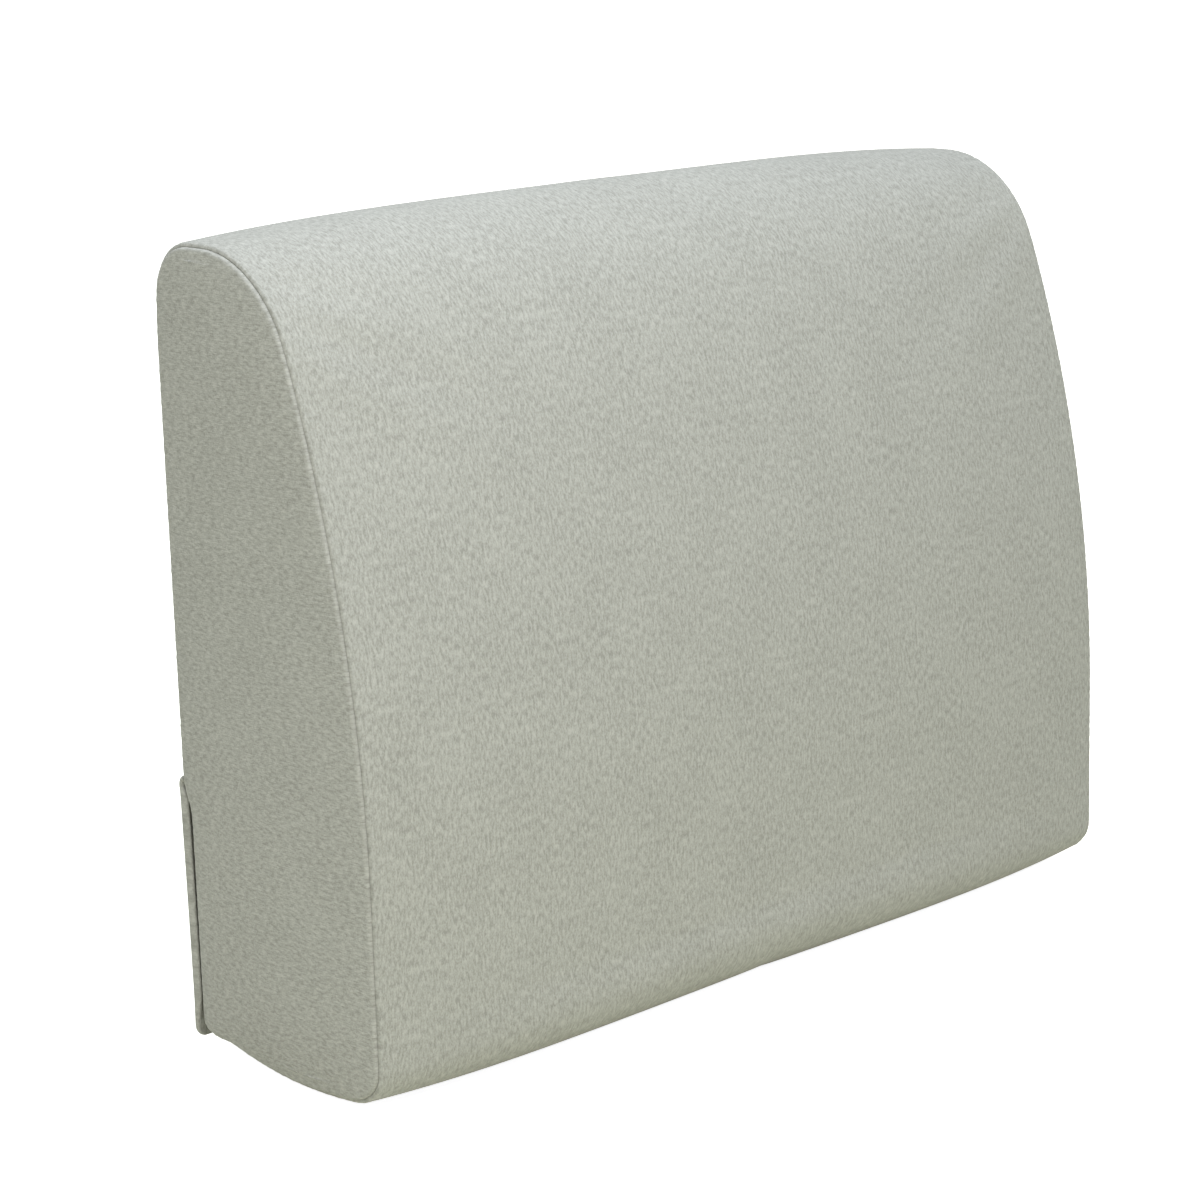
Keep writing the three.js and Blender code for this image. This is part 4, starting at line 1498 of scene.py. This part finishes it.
class CUSHION_OT_flap(bpy.types.Operator):
    """Sews the flap that hides the zip"""

    bl_idname = "cushion.flap"
    bl_label = "Flap"

    def execute(self, context):
        sew_flap(context.scene.cushion_flap)
        return {"FINISHED"}


class CUSHION_OT_patches(bpy.types.Operator):
    """Sews on the hook and loop patches and the care label"""

    bl_idname = "cushion.patches"
    bl_label = "Patches and label"

    def execute(self, context):
        sew_patches()
        sew_label()
        return {"FINISHED"}


class CUSHION_OT_studio(bpy.types.Operator):
    """Sets up the floor, the lamps and the camera"""

    bl_idname = "cushion.studio"
    bl_label = "Studio"

    def execute(self, context):
        scene, studio = context.scene, context.scene.cushion_studio
        aim_camera(scene, studio)
        lay_floor(studio)
        light(scene, studio)
        scene.view_settings.view_transform = "Standard"
        return {"FINISHED"}


def aim_camera(scene, studio):
    """A long lens in front of the left end, looking down a little."""
    camera = bpy.data.objects.new("camera", bpy.data.cameras.new("camera"))
    scene.collection.objects.link(camera)
    camera.data.lens = studio.lens
    camera.data.sensor_width = 36
    camera.data.clip_start, camera.data.clip_end = 0.01, 100
    camera.matrix_world = (
        Matrix.Translation((studio.camera_x, studio.camera_y, studio.camera_z))
        @ Matrix.Rotation(-studio.heading, 4, "Z")
        @ Matrix.Rotation(math.pi / 2 - studio.pitch, 4, "X")
        @ Matrix.Rotation(-studio.roll, 4, "Z")
    )
    scene.camera = camera


def lay_floor(studio):
    """A square of 60 m, flat, just below the base. Its glow is seen by the camera only: it
    hides the shadow under the base and lights nothing."""
    side, drop = 30.0, -studio.floor_drop
    corners = [[-side, -side, drop], [side, -side, drop], [side, side, drop], [-side, side, drop]]
    points = np.array(corners)
    made, nodes = new_material("floor")
    cloud = object_noise(nodes, 0.6)
    tint = tuple(studio.floor)
    seen = nodes.add("LightPath").outputs["Is Camera Ray"]
    glow = nodes.mix(seen, (0.0, 0.0, 0.0), (0.97, 0.97, 1.0))
    shade = nodes.mix(cloud, tint, tuple(0.985 * k for k in tint))
    principled(nodes, shade, roughness=0.9, glow=glow, Emission_Strength=studio.glow)
    floor = new_object("floor", mesh_from("floor", points, np.array([[0, 1, 2, 3]])), made)


def light(scene, studio):
    """Even light all round, cool above and warm at the horizon; a wide cool light above; a
    soft lamp at the front left, near enough to fade towards the right; one overhead."""
    world = bpy.data.worlds.new("studio")
    world.use_nodes = True
    nodes = Nodes(world.node_tree)
    up = nodes.add("SeparateXYZ", {"Vector": nodes.add("TexCoord").outputs["Generated"]})
    sky = nodes.mix(up.outputs["Z"], (1.02, 1.0, 0.90), (0.93, 1.0, 1.10))
    back = nodes.add("Background", {"Color": sky, "Strength": studio.ambient})
    output = nodes.tree.nodes.new("ShaderNodeOutputWorld")
    nodes.tree.links.new(back.outputs[0], output.inputs[0])
    scene.world = world
    cool = (0.92, 1.0, 1.1)
    for name, kind, place, size, power, tint in (
        ("key", "AREA", (-0.7, -0.9, 1.1), 0.6, studio.key, (1.0, 1.0, 1.0)),
        ("overhead", "AREA", (-0.1, -0.2, 1.7), 1.2, studio.overhead, cool),
        ("sky", "SUN", (0, 0, 3), math.radians(120), studio.sky, cool),
    ):
        lamp = bpy.data.lights.new(name, kind)
        lamp.energy, lamp.color = power, tint
        if kind == "SUN":
            lamp.angle = size
        else:
            lamp.shape, lamp.size = "DISK", size
        obj = bpy.data.objects.new(name, lamp)
        scene.collection.objects.link(obj)
        obj.location = place
        aim = Vector((0, 0, 0 if kind == "SUN" else 0.2)) - obj.location
        obj.rotation_euler = aim.to_track_quat("-Z", "Y").to_euler()


class CUSHION_PT_maker(bpy.types.Panel):
    """Lists what the add-on makes"""

    bl_idname = "CUSHION_PT_maker"
    bl_label = "Lumbar cushion"
    bl_space_type = "VIEW_3D"
    bl_region_type = "UI"
    bl_category = "Cushion"

    def draw(self, context):
        for operator in OPERATORS:
            self.layout.operator(operator.bl_idname)


SETTINGS = {
    "cushion_cover": CoverSettings,
    "cushion_flap": FlapSettings,
    "cushion_zip": ZipSettings,
    "cushion_stitches": StitchSettings,
    "cushion_colours": ColourSettings,
    "cushion_studio": StudioSettings,
}
OPERATORS = (
    CUSHION_OT_studio,
    CUSHION_OT_cover,
    CUSHION_OT_filling,
    CUSHION_OT_zip,
    CUSHION_OT_flap,
    CUSHION_OT_patches,
)


def register():
    for made in (*SETTINGS.values(), *OPERATORS, CUSHION_PT_maker):
        bpy.utils.register_class(made)
    for name, made in SETTINGS.items():
        setattr(bpy.types.Scene, name, PointerProperty(type=made))


def unregister():
    for name in SETTINGS:
        delattr(bpy.types.Scene, name)
    for made in (CUSHION_PT_maker, *OPERATORS, *SETTINGS.values()):
        bpy.utils.unregister_class(made)


def main():
    register()
    for operator in OPERATORS:
        family, name = operator.bl_idname.split(".")
        getattr(getattr(bpy.ops, family), name)()


if __name__ == "__main__":
    main()
